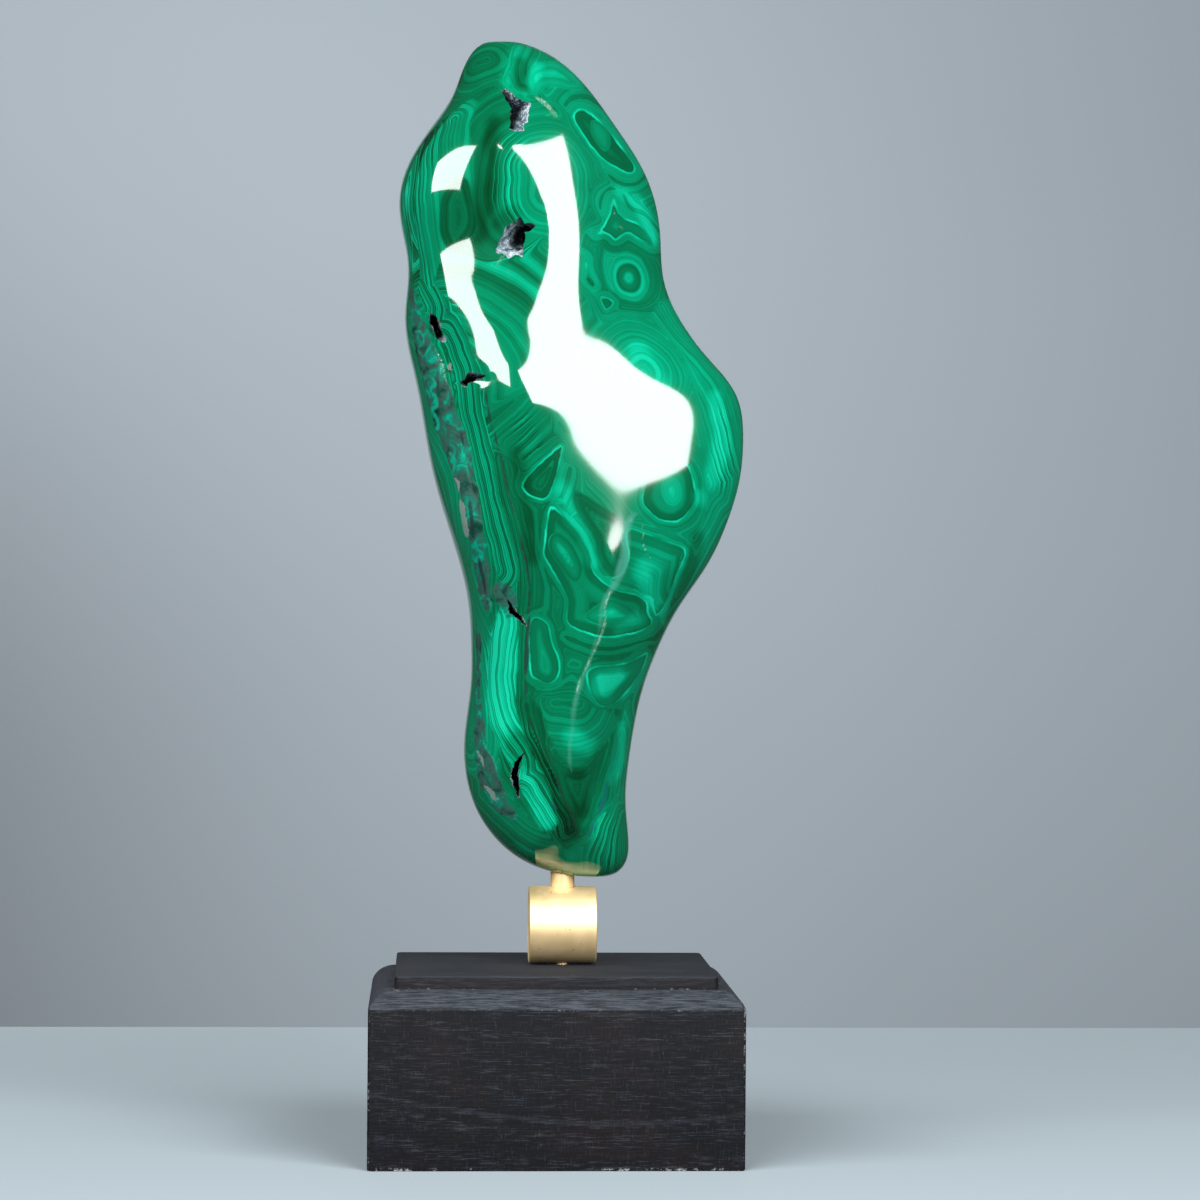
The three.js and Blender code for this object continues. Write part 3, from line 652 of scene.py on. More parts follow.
# The same for the back, which the photograph hides, in millimetres as (x, z, radius).
backGrowth = {
    "crown": {"area": [(-18, 346, 9)], "tone": -0.3},
    "crownEye": {"area": [(2, 332, 7)], "tone": 0.4},
    "leftShoulder": {"area": [(-34, 322, 10), (-38, 304, 8)], "tone": 0.1},
    "middleEye": {"area": [(-8, 306, 8), (-6, 298, 7)], "tone": -0.5},
    "rightShoulder": {"area": [(18, 312, 8), (24, 296, 8)], "tone": 0.2},
    "waistBands": {"area": [(-34, 282, 8), (-14, 276, 8), (8, 280, 6)], "thread": [(-48, 290), (-16, 284),
        (20, 292)], "tone": -0.1},
    "hipFan": {"area": [(34, 252, 18)], "thread": [(34, 250)], "tone": 0.3},
    "hipEye": {"area": [(8, 246, 9), (14, 238, 9)], "tone": -0.2},
    "leftHip": {"area": [(-24, 252, 10), (-26, 232, 10)], "tone": 0.15},
    "belly": {"area": [(36, 214, 12), (26, 200, 9)], "tone": -0.05},
    "bellyEye": {"area": [(2, 212, 9)], "tone": 0.45},
    "leftFlow": {"area": [(-22, 208, 7), (-18, 186, 7)], "thread": [(-40, 226), (-30, 190), (-28, 160)],
        "tone": 0.2},
    "spine": {"area": [(12, 184, 9), (6, 170, 9)], "tone": -0.4},
    "rightLeg": {"area": [(26, 170, 7), (22, 150, 7)], "thread": [(46, 190), (32, 160), (26, 130)],
        "tone": 0.1},
    "shinEye": {"area": [(-8, 156, 8), (-6, 146, 7)], "tone": 0.3},
    "shin": {"area": [(6, 136, 8)], "tone": -0.25},
    "leftHeel": {"area": [(-18, 128, 8), (-12, 112, 8)], "thread": [(-30, 140), (-22, 112), (-4, 96)],
        "tone": -0.35},
    "heel": {"area": [(12, 112, 9), (14, 100, 8)], "tone": 0.15},
}

# Single marks on the stone, as strokes on the photograph: host rock, dark creases, blue seams, pale veins
# and the like, with a painted reflection streak and a painted highlight among them. Dark and light are
# areas that are darker and lighter.
marks = {
    "rock": [
        [(410, 292, 5), (417, 325, 11), (426, 358, 16), (436, 392, 18), (447, 424, 17), (457, 455, 15),
         (465, 485, 12), (472, 512, 10), (477, 540, 9), (481, 570, 8), (486, 600, 8)],
        [(500, 590, 8), (512, 606, 11), (520, 618, 6)],
        [(480, 640, 7), (478, 690, 6), (480, 740, 9), (484, 770, 14), (494, 796, 12), (510, 815, 6)],
    ],
    "crease": [
        [(446, 285, 0.3), (470, 330, 0.4), (486, 390, 0.8), (500, 455, 1), (514, 510, 1), (526, 570, 1.2),
         (529, 620, 1.5), (526, 680, 1.5), (530, 722, 1.2), (548, 755, 0.7), (566, 800, 0.7),
         (578, 838, 0.5)],
        [(430, 322, 1), (433, 334, 2), (438, 340, 1)],
        [(447, 370, 2), (450, 372, 1.5)],
        [(459, 430, 0.6), (461, 440, 1.2), (464, 448, 0.6)],
        [(466, 492, 0.8), (470, 505, 2.2), (472, 520, 2), (474, 534, 0.8)],
        [(478, 552, 0.6), (481, 566, 1.8), (484, 580, 1.4), (488, 602, 0.8)],
        [(457, 330, 0.2), (452, 322, 0.4), (441, 300, 0.2)],
        [(476, 620, 0.5), (477, 640, 1), (478, 660, 0.4)],
        [(496, 778, 0.8), (502, 790, 1.2), (509, 800, 0.6)],
    ],
    "seam": [
        [(617, 738, 0.4), (612, 765, 0.9), (605, 792, 1.2), (596, 815, 1), (588, 836, 0.4)],
        [(552, 798, 0.5), (556, 806, 1.2)],
    ],
    "lively": [  # where the bands are strong and fine
        [(457, 110, 10), (440, 126, 14), (420, 160, 18), (411, 200, 16), (413, 240, 14), (424, 280, 12),
         (446, 320, 18), (462, 360, 18), (475, 410, 16), (486, 468, 14), (498, 525, 14), (508, 580, 12)],
        [(508, 620, 14), (503, 650, 18), (502, 690, 19), (508, 722, 18), (524, 756, 18), (542, 795, 16),
         (560, 830, 10)],
        [(524, 424, 8), (530, 440, 10), (536, 458, 6)],
        [(724, 420, 10), (724, 480, 10)],
        [(606, 830, 16), (606, 858, 14)],
        [(512, 140, 8), (504, 170, 10), (506, 200, 10), (516, 216, 6)],
    ],
    "vein": [
        [(536, 97, 1), (546, 104, 2.6), (552, 112, 2.4), (560, 124, 0.6)],
        [(540, 112, 0.4), (548, 116, 1.2), (556, 122, 0.4)],
        [(632, 522, 0.3), (638, 511, 0.4), (643, 528, 0.5), (644, 545, 0.4), (652, 560, 0.2)],
        [(618, 590, 0.3), (610, 592, 0.5), (606, 606, 0.4), (605, 622, 0.6), (599, 640, 0.7),
         (589, 660, 0.5), (582, 676, 0.4), (577, 692, 0.3)],
    ],
    "milky": [  # painted reflection: soft pale streaks down the lower front
        [(635, 512, 3), (627, 528, 5), (624, 557, 6), (618, 576, 5), (606, 598, 3), (599, 628, 2),
         (590, 658, 2), (580, 685, 3), (575, 712, 2.5), (573, 740, 2.5), (573, 764, 1.5),
         (574, 774, 0.5)],
        [(548, 728, 0.4), (552, 745, 1), (556, 760, 0.4)],
    ],
    "line": [  # single bright lines
        [(424, 378, 1), (430, 376, 1.3), (435, 383, 1.4), (430, 390, 1.3), (436, 397, 1.4),
         (437, 405, 1.4), (431, 410, 1.3), (437, 418, 1.4), (438, 427, 1.3), (431, 432, 0.9),
         (430, 444, 1), (436, 458, 1.1), (441, 474, 0.6)],
        [(412, 336, 0.5), (420, 332, 0.8), (424, 340, 0.7), (418, 348, 0.6), (422, 356, 0.4)],
        [(448, 452, 0.4), (454, 462, 0.8), (452, 472, 0.7), (458, 480, 0.3)],
        [(478, 600, 0.6), (486, 596, 0.9), (492, 606, 0.9), (488, 618, 0.6)],
        [(484, 744, 0.5), (492, 756, 0.8), (498, 772, 0.7), (508, 784, 0.4)],
        [(549, 498, 0.9), (548, 508, 0.9)],
        [(595, 288, 0.4), (592, 268, 0.8), (595, 250, 0.9), (599, 239, 1.1), (606, 237, 1.1),
         (612, 241, 0.9), (616, 246, 0.6), (628, 243, 0.3)],
        [(684, 549, 0.8), (680, 566, 0.8), (674, 584, 0.8), (668, 598, 0.7), (671, 606, 0.5)],
        [(645, 512, 0.3), (662, 526, 0.5), (684, 536, 0.3)],
        [(556, 630, 0.3), (570, 637, 0.5), (590, 643, 0.5), (620, 642, 0.4), (648, 638, 0.3)],
        [(590, 668, 0.5), (612, 661, 0.6), (636, 653, 0.6), (652, 641, 0.5), (662, 626, 0.3)],
        [(552, 714, 0.3), (566, 720, 0.4), (586, 719, 0.4), (604, 716, 0.2)],
    ],
    "dark": [
        [(518, 62, 3), (521, 84, 5)],
        [(462, 66, 2), (458, 84, 3)],
        [(492, 122, 3), (490, 160, 4), (488, 205, 5), (480, 236, 4)],
        [(500, 222, 5), (512, 216, 5)],
        [(698, 540, 6), (690, 572, 6), (670, 614, 5)],
        [(508, 730, 2), (519, 748, 9), (538, 770, 8), (558, 806, 6), (572, 832, 4)],
        [(578, 776, 5), (578, 812, 5)],
        [(516, 452, 2), (526, 500, 3), (532, 560, 2)],
    ],
    "light": [
        [(518, 48, 3), (508, 66, 4), (508, 86, 3), (526, 98, 2)],
        [(536, 66, 4), (534, 82, 5)],
        [(620, 190, 3), (640, 205, 6), (652, 235, 4)],
        [(640, 360, 14), (655, 385, 12)],
        [(716, 400, 6), (722, 440, 8), (714, 480, 6)],
        [(600, 684, 8), (618, 676, 6)],
        [(641, 568, 7), (648, 590, 6), (655, 604, 5)],
        [(574, 734, 6), (590, 746, 6)],
        [(506, 620, 8), (500, 660, 12), (498, 700, 12), (506, 725, 8)],
        [(406, 190, 3), (404, 230, 3), (412, 262, 3)],
        [(530, 776, 2), (539, 796, 3), (549, 820, 3)],
        [(621, 728, 2), (622, 750, 3), (618, 775, 2)],
        [(520, 848, 3), (536, 856, 3)],
        [(700, 496, 5)],
        [(640, 620, 6), (620, 630, 4)],
        [(562, 490, 4), (572, 516, 4), (584, 536, 3), (594, 560, 3)],
    ],
    # pale patches of the stone, and a painted highlight
    "pale": [
        [(614, 213, 0.5), (618, 224, 1.6), (625, 233, 0.8)],
        [(478, 752, 1.6), (482, 765, 1.2)],
        [(486, 790, 2.2), (495, 799, 2.6), (503, 806, 1)],
        [(456, 372, 1), (449, 368, 3)],
        # painted highlight: a pale glare streak on the left rock
        [(455, 478, 1.5), (459, 495, 2.6), (463, 514, 3.2), (467, 534, 1.5)],
    ],
}


def smoothed(places, steps=5, closed=False):  # more places along a soft curve through the given ones
    if len(places) < 3:
        return [tuple(place) for place in places]
    ends = (places[-1:], places[:2]) if closed else (places[:1], places[-1:])
    known = np.array([*ends[0], *places, *ends[1]], float)
    made = []
    for before, start, end, after in zip(known, known[1:], known[2:], known[3:]):
        for step in range(steps):
            t = step / steps
            bend = 2 * before - 5 * start + 4 * end - after
            swing = 3 * start - before - 3 * end + after
            made.append(0.5 * (2 * start + (end - before) * t + bend * t * t + swing * t ** 3))
    made.append(known[-1])
    return [tuple(place) for place in made]


malachite = {
    "wander": ((0.019, 0.0011), (0.006, 0.0004)),  # how wide and how deep the bands wander, in metres
    "turnsAt": 0.002, "turnsBy": 1.5,  # where and how fast outlines close towards the back
    "rim": 4,  # added to the tone of entries with a rim
    "waviness": 0.5,  # how far the bands waver, in millimetres
    "blend": 0.5,  # how softly the ground areas meet, in millimetres
    "quiet": 0.17,  # how much the bands stand out in most places
    "strong": 0.62,  # and where they're lively
    "polish": 0.05,
    "gloss": 1.66,
    "colours": [
        (0.00, (0.0, 0.014, 0.004)), (0.22, (0.0, 0.038, 0.012)), (0.42, (0.0, 0.078, 0.031)),
        (0.60, (0.0, 0.135, 0.062)), (0.80, (0.0, 0.235, 0.125)), (1.00, (0.004, 0.36, 0.22)),
    ],
    "rock": [
        (0.30, (0.001, 0.020, 0.013)), (0.40, (0.004, 0.046, 0.033)), (0.47, (0.024, 0.058, 0.047)),
        (0.53, (0.008, 0.080, 0.055)), (0.60, (0.001, 0.15, 0.095)), (0.68, (0.0, 0.26, 0.17)),
    ],
    "crease": (0.008, 0.021, 0.020),
    "lineOnRock": (0.0, 0.25, 0.155),
    "seam": (0.004, 0.065, 0.075),
    # the colour of the painted reflection streaks
    "paintedReflectionColour": (0.06, 0.25, 0.20),
    "vein": (0.24, 0.38, 0.31),
    # the colour of the pale patches and of the painted highlight
    "pale": (0.15, 0.185, 0.175),
}


def gathered(items, field, kind=np.int32, width=1):  # a value of every item, as one array
    values = np.empty(len(items) * width, kind)
    items.foreach_get(field, values)
    return values


def growthFields(piece):  # stores how far every part of the mesh is from the entries and the marks
    mesh = piece.data
    points = gathered(mesh.vertices, "co", np.float32, 3).reshape(-1, 3).astype(float)
    tree = BVHTree.FromPolygons([vertex.co for vertex in mesh.vertices],
                                [face.vertices for face in mesh.polygons])
    half = photo["frameWidth"] / 2
    eye = photoView.translation
    turn = photoView.to_3x3()
    pixel = photo["pixelSize"]
    (wide, wideDepth), (narrow, narrowDepth) = malachite["wander"]

    def onFront(px, py):  # the stone's place under a pixel, or the nearest one beside it
        ray = (turn @ Vector(((px - half) / lensPixels, (half - py) / lensPixels, -1))).normalized()
        hit = tree.ray_cast(eye, ray)[0]
        if hit is None:
            hit = tree.find_nearest(eye + ray * (-eye.y / ray.y))[0]
        return np.array(hit)

    def onBack(x, z):  # the same from straight behind
        hit = tree.ray_cast(Vector((x * mm, 0.2, z * mm)), Vector((0, -1, 0)))[0]
        if hit is None:
            hit = tree.find_nearest(Vector((x * mm, 0.01, z * mm)))[0]
        return np.array(hit)

    noise.seed_set(7)
    wobble = np.array([noise.noise_vector(Vector(point) / wide) * wideDepth
                       + noise.noise_vector(Vector(point) / narrow) * narrowDepth for point in points])
    bent = points + wobble

    def distances(stroke, finder, unit):
        if finder is onFront:
            stroke = smoothed(stroke)
        spine = [finder(*place[:2]) for place in stroke]
        radii = [place[2] * unit if len(place) > 2 else 0 for place in stroke]  # a thread has no width
        return strokeDistance(bent, spine, radii) / mm

    seen = (bent - np.array(eye)) @ np.array(turn)  # the points in the photograph's pixels
    seen = np.stack([half - lensPixels * seen[:, 0] / seen[:, 2],
                     half + lensPixels * seen[:, 1] / seen[:, 2]], axis=1)
    past = np.maximum(points[:, 1] - malachite["turnsAt"], 0) * malachite["turnsBy"]

    def insideness(outline):  # how far the points are from a closed outline, less than nothing inside it
        places = np.array(smoothed(outline, 4, closed=True)[:-1])
        nearest = np.full(len(seen), 1e9)
        inside = np.zeros(len(seen), bool)
        for start, end in zip(places, np.roll(places, -1, axis=0)):
            nearest = np.minimum(nearest, strokeDistance(seen, [start, end], [0, 0]))
            crosses = (start[1] > seen[:, 1]) != (end[1] > seen[:, 1])
            rise = end[1] - start[1] if abs(end[1] - start[1]) > 1e-9 else 1e-9
            crossing = start[0] + (end[0] - start[0]) * (seen[:, 1] - start[1]) / rise
            inside ^= crosses & (seen[:, 0] < crossing)
        return (np.where(inside, -nearest, nearest) * pixel + past) / mm

    outlined = {name: insideness(entry["outline"]) for layer in growth.values()
                for name, entry in layer.items() if "outline" in entry}

    def fieldsOf(entries, finder, unit):  # the area, thread and tone of every entry, at every point
        made = []
        for name, entry in entries.items():
            area = outlined[name] if name in outlined else distances(entry["area"], finder, unit)
            thread = distances(entry["thread"], finder, unit) if "thread" in entry else area
            if "around" in entry:
                thread = outlined[entry["around"]]
            depth = np.clip(area / min(area.min(), -0.1), 0, 1)
            tone = entry["tone"] + (entry.get("heart", entry["tone"]) - entry["tone"]) * depth
            made.append((area, thread, tone + malachite["rim"] * entry.get("rim", 0)))
        return made

    ground = fieldsOf(growth["ground"], onFront, pixel) + fieldsOf(backGrowth, onBack, mm)
    cells = fieldsOf(growth["cells"], onFront, pixel)
    cores = fieldsOf(growth["cores"], onFront, pixel)

    cornerPoint = gathered(mesh.loops, "vertex_index")
    faceStart = gathered(mesh.polygons, "loop_start")
    cornerFace = np.repeat(np.arange(len(faceStart)), gathered(mesh.polygons, "loop_total"))

    def store(name, fields, slots):  # a face keeps its nearest entries, and its corners what they say
        areas = np.array([area for area, _, _ in fields])
        threads = np.array([thread for _, thread, _ in fields])
        tones = np.array([tone for _, _, tone in fields])
        cornerAreas = areas[:, cornerPoint]
        faceNearest = np.minimum.reduceat(cornerAreas, faceStart, axis=1)
        order = np.argsort(faceNearest, axis=0)[:slots]
        for slot in range(slots):
            entry = order[min(slot, len(fields) - 1)][cornerFace]
            values = np.stack([field[entry, cornerPoint] for field in (areas, threads, tones)], axis=1)
            layer = mesh.attributes.new(f"{name}{slot + 1}", "FLOAT_VECTOR", "CORNER")
            layer.data.foreach_set("vector", values.astype(np.float32).ravel())

    store("ground", ground, 3)
    store("cell", cells, 2)
    store("core", cores, 1)

    for kind, strokes in marks.items():
        nearest = np.minimum.reduce([distances(stroke, onFront, pixel) for stroke in strokes])
        layer = mesh.attributes.new(kind, "FLOAT", "POINT")
        layer.data.foreach_set("value", nearest.astype(np.float32))


def malachiteMaterial():  # distances and layers are in millimetres here
    material, wire, place = newMaterial("malachitePolish")
    waver = place.speckle(0.009, 2.0) - 0.5
    ripple = place.speckle(0.0022, 1.0) - 0.5
    shift = waver * (2 * malachite["waviness"]) + ripple * 0.3

    def candidate(name):  # the area, thread and tone that a face keeps
        return wire.attribute(name).parts()

    def within(kind, rough, low, high):  # 1 inside the marks of a kind, and 0 outside them
        return 1 - (wire.attribute(kind, out=2) + rough).between(low, high)

    def covering(area, tone, soft, sharper):  # how an entry with this area and tone lies over others
        rimmed = tone > malachite["rim"] / 2
        softness = soft - rimmed * sharper
        inside = 1 - wire.sum("DIVIDE", area + softness, softness * 2).between(0.0, 1.0)
        return rimmed, tone - rimmed * malachite["rim"], inside, 1 - area.between(-0.12, 0.12)

    grounds = [candidate(name) for name in ("ground1", "ground2", "ground3")]
    nearest = grounds[0][0].lower(grounds[1][0]).lower(grounds[2][0])
    weights = [wire.sum("POWER", 2.0, (nearest - area) / malachite["blend"]) for area, *_ in grounds]
    total = weights[0] + weights[1] + weights[2]
    thread, tone = (sum((weight * ground[which] for weight, ground in zip(weights, grounds)), 0) / total
                    for which in (1, 2))

    cellArea, cellThread, cellTone = candidate("cell1")
    otherArea, otherThread, otherTone = candidate("cell2")
    wins = otherArea < cellArea
    cellThread = cellThread.towards(otherThread, wins)
    cellTone = cellTone.towards(otherTone, wins)
    cellArea = cellArea.lower(otherArea) + ripple * 0.5
    rimmed, cellTone, inCell, overGround = covering(cellArea, cellTone, 0.9, 0.82)
    rimPlace = abs(cellArea + 0.1)
    rim = rimmed * (1 - rimPlace.between(0.15, 0.75)) * (0.6 + waver * 0.9)
    wrap = rimmed * (1 - cellArea.between(0.6, 4.5))
    thread = thread.towards(cellArea * 0.9 + 5.0, wrap)

    coreArea, coreThread, coreTone = candidate("core1")
    coreRimmed, coreTone, inCore, overCell = covering(coreArea, coreTone, 0.8, 0.65)
    coreRim = coreRimmed * (1 - abs(coreArea).between(0.05, 0.5)) * (0.45 + waver * 0.9)

    thread = thread.towards(cellThread, overGround).towards(coreThread, overCell)
    tone = tone.towards(cellTone, inCell).towards(coreTone, inCore)
    along = thread + shift

    lively = within("lively", waver * 6.0, -1.5, 2.5)
    strength = malachite["quiet"] + lively * (malachite["strong"] - malachite["quiet"])
    strength = strength * (1 - rimmed * inCell * 0.4)
    broadest = (along + 211.0).layers(7.5) - 0.5
    broad = along.layers(3.4) - 0.5
    middling = (along + 37.0).layers(1.3) - 0.5
    fine = (along + 71.0).layers(0.45) - 0.5
    step = wire.sum("FRACT", along * 0.36 + broad * 1.5)
    grouped = (along + 29.0).layers(4.6).between(0.42, 0.6)
    darkLine = (1 - abs((along + 113.0).layers(1.7) - 0.5).between(0.01, 0.055)) * grouped
    lightLine = (1 - abs((along + 151.0).layers(2.3) - 0.5).between(0.005, 0.04)) * (1 - grouped * 0.6)
    cloudy = place.speckle(0.012, 3.0) - 0.5
    shading = within("light", waver * 3.0, -1.0, 3.2) - within("dark", waver * 3.0, -1.0, 3.2)
    value = 0.52 + tone * 0.28 + shading * 0.2 + cloudy * 0.16 + broadest * 0.36 + broad * 0.26
    value = value + strength * (broad * 0.4 + middling * 0.75 + fine * 0.95 + (step - 0.5) * 0.18)
    value = value + (lightLine * 0.10 - darkLine * 0.12) * (0.35 + strength)
    drawn = within("line", ripple * 0.5, -0.1, 0.7)
    value = value.higher(rim * 1.3).higher(coreRim * 1.1).higher(drawn * (0.62 + waver * 0.5))
    colour = wire.node("ValToRGB", {"stops": malachite["colours"]}, {0: value})

    patchy = place.speckle(0.0045, 4.0, 0.6) - 0.5
    inRock = within("rock", patchy * 5.0, -0.4, 0.5)
    mottled = place.speckle(0.006, 5.0, 0.6, 0.8)
    rockColour = wire.node("ValToRGB", {"stops": malachite["rock"]}, {0: mottled})
    colour = colour.dyed(rockColour, inRock)
    colour = colour.dyed(malachite["crease"], within("crease", ripple * 0.5, -0.1, 0.45) * 0.85)
    colour = colour.dyed(malachite["lineOnRock"], drawn * inRock * 0.85)
    colour = colour.dyed(malachite["seam"], within("seam", patchy * 2.0, -0.2, 0.5) * 0.8)
    # painted reflection: soft pale streaks laid into the colour
    colour = colour.dyed(malachite["paintedReflectionColour"], within("milky", patchy * 1.5, -1.2, 0.5) * 0.45)
    frost = place.stretched((1, 1, 0.5)).speckle(0.0008, 2.0).between(0.42, 0.58)
    inVein = within("vein", patchy * 0.5, -0.1, 0.5) * (0.3 + frost * 0.7)
    colour = colour.dyed(malachite["vein"], inVein * 0.7)
    # pale patches, and the painted highlight on the left rock
    colour = colour.dyed(malachite["pale"], within("pale", patchy * 5.0, -0.2, 0.3) * 0.75)

    scuffs = place.speckle(0.03, 4.0)
    roughness = malachite["polish"] + scuffs * 0.03 + inRock * 0.12
    grit = place.speckle(0.0011, 3.0)
    return finished(material, wire, {
        "Base Color": colour, "Roughness": roughness, "IOR": malachite["gloss"],
        "Normal": (grit * inRock).bumps(0.25, 0.0002)})


druse = {
    "colours": [
        (0.34, (0.01, 0.022, 0.03)), (0.43, (0.08, 0.125, 0.15)), (0.52, (0.25, 0.32, 0.36)),
        (0.64, (0.62, 0.68, 0.72)),
    ],
    # painted shade deep in the cavities: its dark colour, and where it lies
    "deep": (0.004, 0.008, 0.012),
    "paintedShadeFrom": -0.0178, "paintedShadeTo": -0.0136,  # where the painted shade darkens the walls, along Y
    "facets": 1100.0,  # to a metre
    "relief": 0.0006,
    "rough": 0.28,
}


def druseMaterial():  # the crystal walls inside the cavities
    material, wire, place = newMaterial("druse")
    patchy = place.speckle(0.003, 4.0, 0.7)
    colour = wire.node("ValToRGB", {"stops": druse["colours"]}, {0: patchy})
    # painted shade: the walls are coloured darker the deeper they lie
    deep = place.parts()[1].between(druse["paintedShadeFrom"], druse["paintedShadeTo"])
    colour = colour.dyed(druse["deep"], deep * 0.95)
    height = wire.node("TexVoronoi", {"feature": "F1"}, {"Vector": place, "Scale": druse["facets"]})
    return finished(material, wire, {
        "Base Color": colour, "Roughness": druse["rough"], "Normal": height.bumps(0.9, druse["relief"])})


malachiteFinish = malachiteMaterial()
druseFinish = druseMaterial()
malachiteStone = patchedSkin()
for finish in (malachiteFinish, druseFinish):
    malachiteStone.data.materials.append(finish)
print("stone smoothed:", len(malachiteStone.data.polygons), "faces")
cutters = [cavityCutter(name, cavity, druseFinish) for name, cavity in stone["cavitiesMm"].items()]
cutters.append(pinHoleCutter(malachiteFinish))
for cutter in cutters:
    cutAway(malachiteStone, cutter)
smoothShaded(malachiteStone, stone["smoothBelow"])
print("cavities cut:", len(malachiteStone.data.polygons), "faces")
growthFields(malachiteStone)
wear(malachiteStone, malachiteFinish)
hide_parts("malachite_stone")
print("stone made")


# The brass. A pin stands in a barrel that lies along X, and a stud holds the barrel to the base.

brass = {
    "barrelRadiusMm": 12.6, "barrelLengthMm": 22.2, "barrelMiddleMm": 74.0, "rimMm": 0.6,
    "recessInMm": 1.2, "recessEdgeMm": 0.3, "recessDeepMm": 0.2,
    "pinRadiusMm": 3.95, "pinFootMm": 74.6, "pinTopMm": 112.0,
    "studRadiusMm": 2.4, "studFootMm": 37.0, "studTopMm": 68.4,
    "fitMm": 0.3, "beyondMm": 9.0,  # how far the holes' cutters stand out
    "smoothBelow": 32,  # degrees
    "satinRough": 0.45, "drawnRough": 0.42,
    "metal": 0.8,  # under 1 for the softer look of satin brass
    "colour": (1.0, 0.76, 0.42),
    "tarnish": (0.62, 0.48, 0.20),
    "spot": (0.16, 0.11, 0.05),
}


def brassMaterial(name, rough, turned):  # the marks run round X when turned, and else along Z
    material, wire, place = newMaterial(name)
    x, y, z = place.parts()
    rings = x.layers(0.00035, 1.0) if turned else place.stretched((1, 1, 0.04)).speckle(0.0003, 1.0)
    cloud = place.speckle(0.009, 2.0)
    upperLeft = (z * (1 / mm) - x * (0.35 / mm)).between(81.0, 90.0) if turned else cloud * 0.4
    tarnished = cloud.between(0.44, 0.66) * 0.35 + upperLeft * cloud.between(0.36, 0.56) * 0.55
    spots = place.speckle(0.0011, 1.0).between(0.74, 0.80)
    colour = wire.mixed(brass["colour"], brass["tarnish"], tarnished.clamped())
    colour = colour.dyed(brass["spot"], spots * 0.7)
    roughness = rings * 0.05 + cloud * 0.06 + spots * 0.2 + rough
    return finished(material, wire, {
        "Base Color": colour, "Metallic": brass["metal"], "Roughness": roughness.clamped(),
        "Normal": rings.bumps(0.06, 0.0001)})


def turnedRod(name, radius, low, high, ends, around=96):  # an upright rod with softened ends
    rod = newRod(name, radius * mm, (high - low) * mm, (axisX, 0, (low + high) / 2 * mm), around=around)
    if ends:
        editEdges(rod, lambda a, b: abs(a.z - b.z) < 1e-6)
        bpy.ops.mesh.bevel(offset=ends * mm, segments=3, affect="EDGES")
        doneEditing()
    return rod


def brassBarrel(material):
    radius, middle = brass["barrelRadiusMm"], brass["barrelMiddleMm"]
    rim, half = brass["rimMm"], brass["barrelLengthMm"] / 2
    barrel = newRod("barrel", radius * mm, 2 * half * mm, (axisX, 0, middle * mm),
                    (0, math.pi / 2, 0), around=160)
    editEdges(barrel, lambda a, b: abs(a.x - b.x) < 1e-6)
    bpy.ops.mesh.bevel(offset=rim * mm, segments=3, affect="EDGES")
    doneEditing()
    for side in (-1, 1):  # a shallow recess is turned in each end
        endX = axisX + side * half * mm
        editFaces(barrel, lambda centre, normal: abs(centre.x - endX) < 1e-5 and side * normal.x > 0.99)
        bpy.ops.mesh.inset(thickness=brass["recessInMm"] * mm, depth=0)
        bpy.ops.mesh.inset(thickness=brass["recessEdgeMm"] * mm, depth=-brass["recessDeepMm"] * mm)
        doneEditing()
    fit, reach = brass["fitMm"], radius + brass["beyondMm"]
    holes = [
        turnedRod("pinSeat", brass["pinRadiusMm"] + fit, brass["pinFootMm"] - fit, middle + reach, 0),
        turnedRod("studSeat", brass["studRadiusMm"] + fit, middle - reach, brass["studTopMm"] + fit, 0),
    ]
    barrel.data.materials.append(material)
    for hole in holes:
        hole.data.materials.append(material)
        cutAway(barrel, hole)
    smoothShaded(barrel, brass["smoothBelow"])
    return barrel


satinBrass = brassMaterial("satinBrass", brass["satinRough"], True)
drawnBrass = brassMaterial("drawnBrass", brass["drawnRough"], False)

barrel = brassBarrel(satinBrass)
wear(barrel, satinBrass)
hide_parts("brass_barrel")

rods = {  # the node it replaces, its radius, foot and top, and how far its ends are softened
    "pin": ("brass_pin", brass["pinRadiusMm"], brass["pinFootMm"], brass["pinTopMm"], 0.5),
    "stud": ("brass_stud", brass["studRadiusMm"], brass["studFootMm"], brass["studTopMm"], 0.3),
}
for name, (nodeName, radius, low, high, ends) in rods.items():
    rod = turnedRod(name, radius, low, high, ends)
    smoothShaded(rod, brass["smoothBelow"])
    wear(rod, drawnBrass)
    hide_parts(nodeName)
print("brass turned")


# The wooden base: a blackened block with a rounded moulding and a raised top.

block = {
    "widthMm": 120.0, "depthMm": 93.0, "heightMm": 61.0,
    "cornerMm": 1.2, "footMm": 0.6, "arrisMm": 0.5,
    "stepInsetMm": 8.3, "stepHeightMm": 4.3,  # the raised top's
    "dropMm": 5.8, "arcFrom": 16, "arcSteps": 14,  # the moulding's, from an angle in degrees
    "studHoleTopMm": 70.0,
    "smoothBelow": 24,  # degrees
    "colour": (0.0032, 0.0038, 0.0056),
    "brown": (0.0064, 0.0046, 0.0050),
    "grainPale": (0.046, 0.052, 0.064),
    "dust": (0.044, 0.051, 0.062),
    "worn": (0.30, 0.31, 0.32),
    "gloss": 1.22,
}


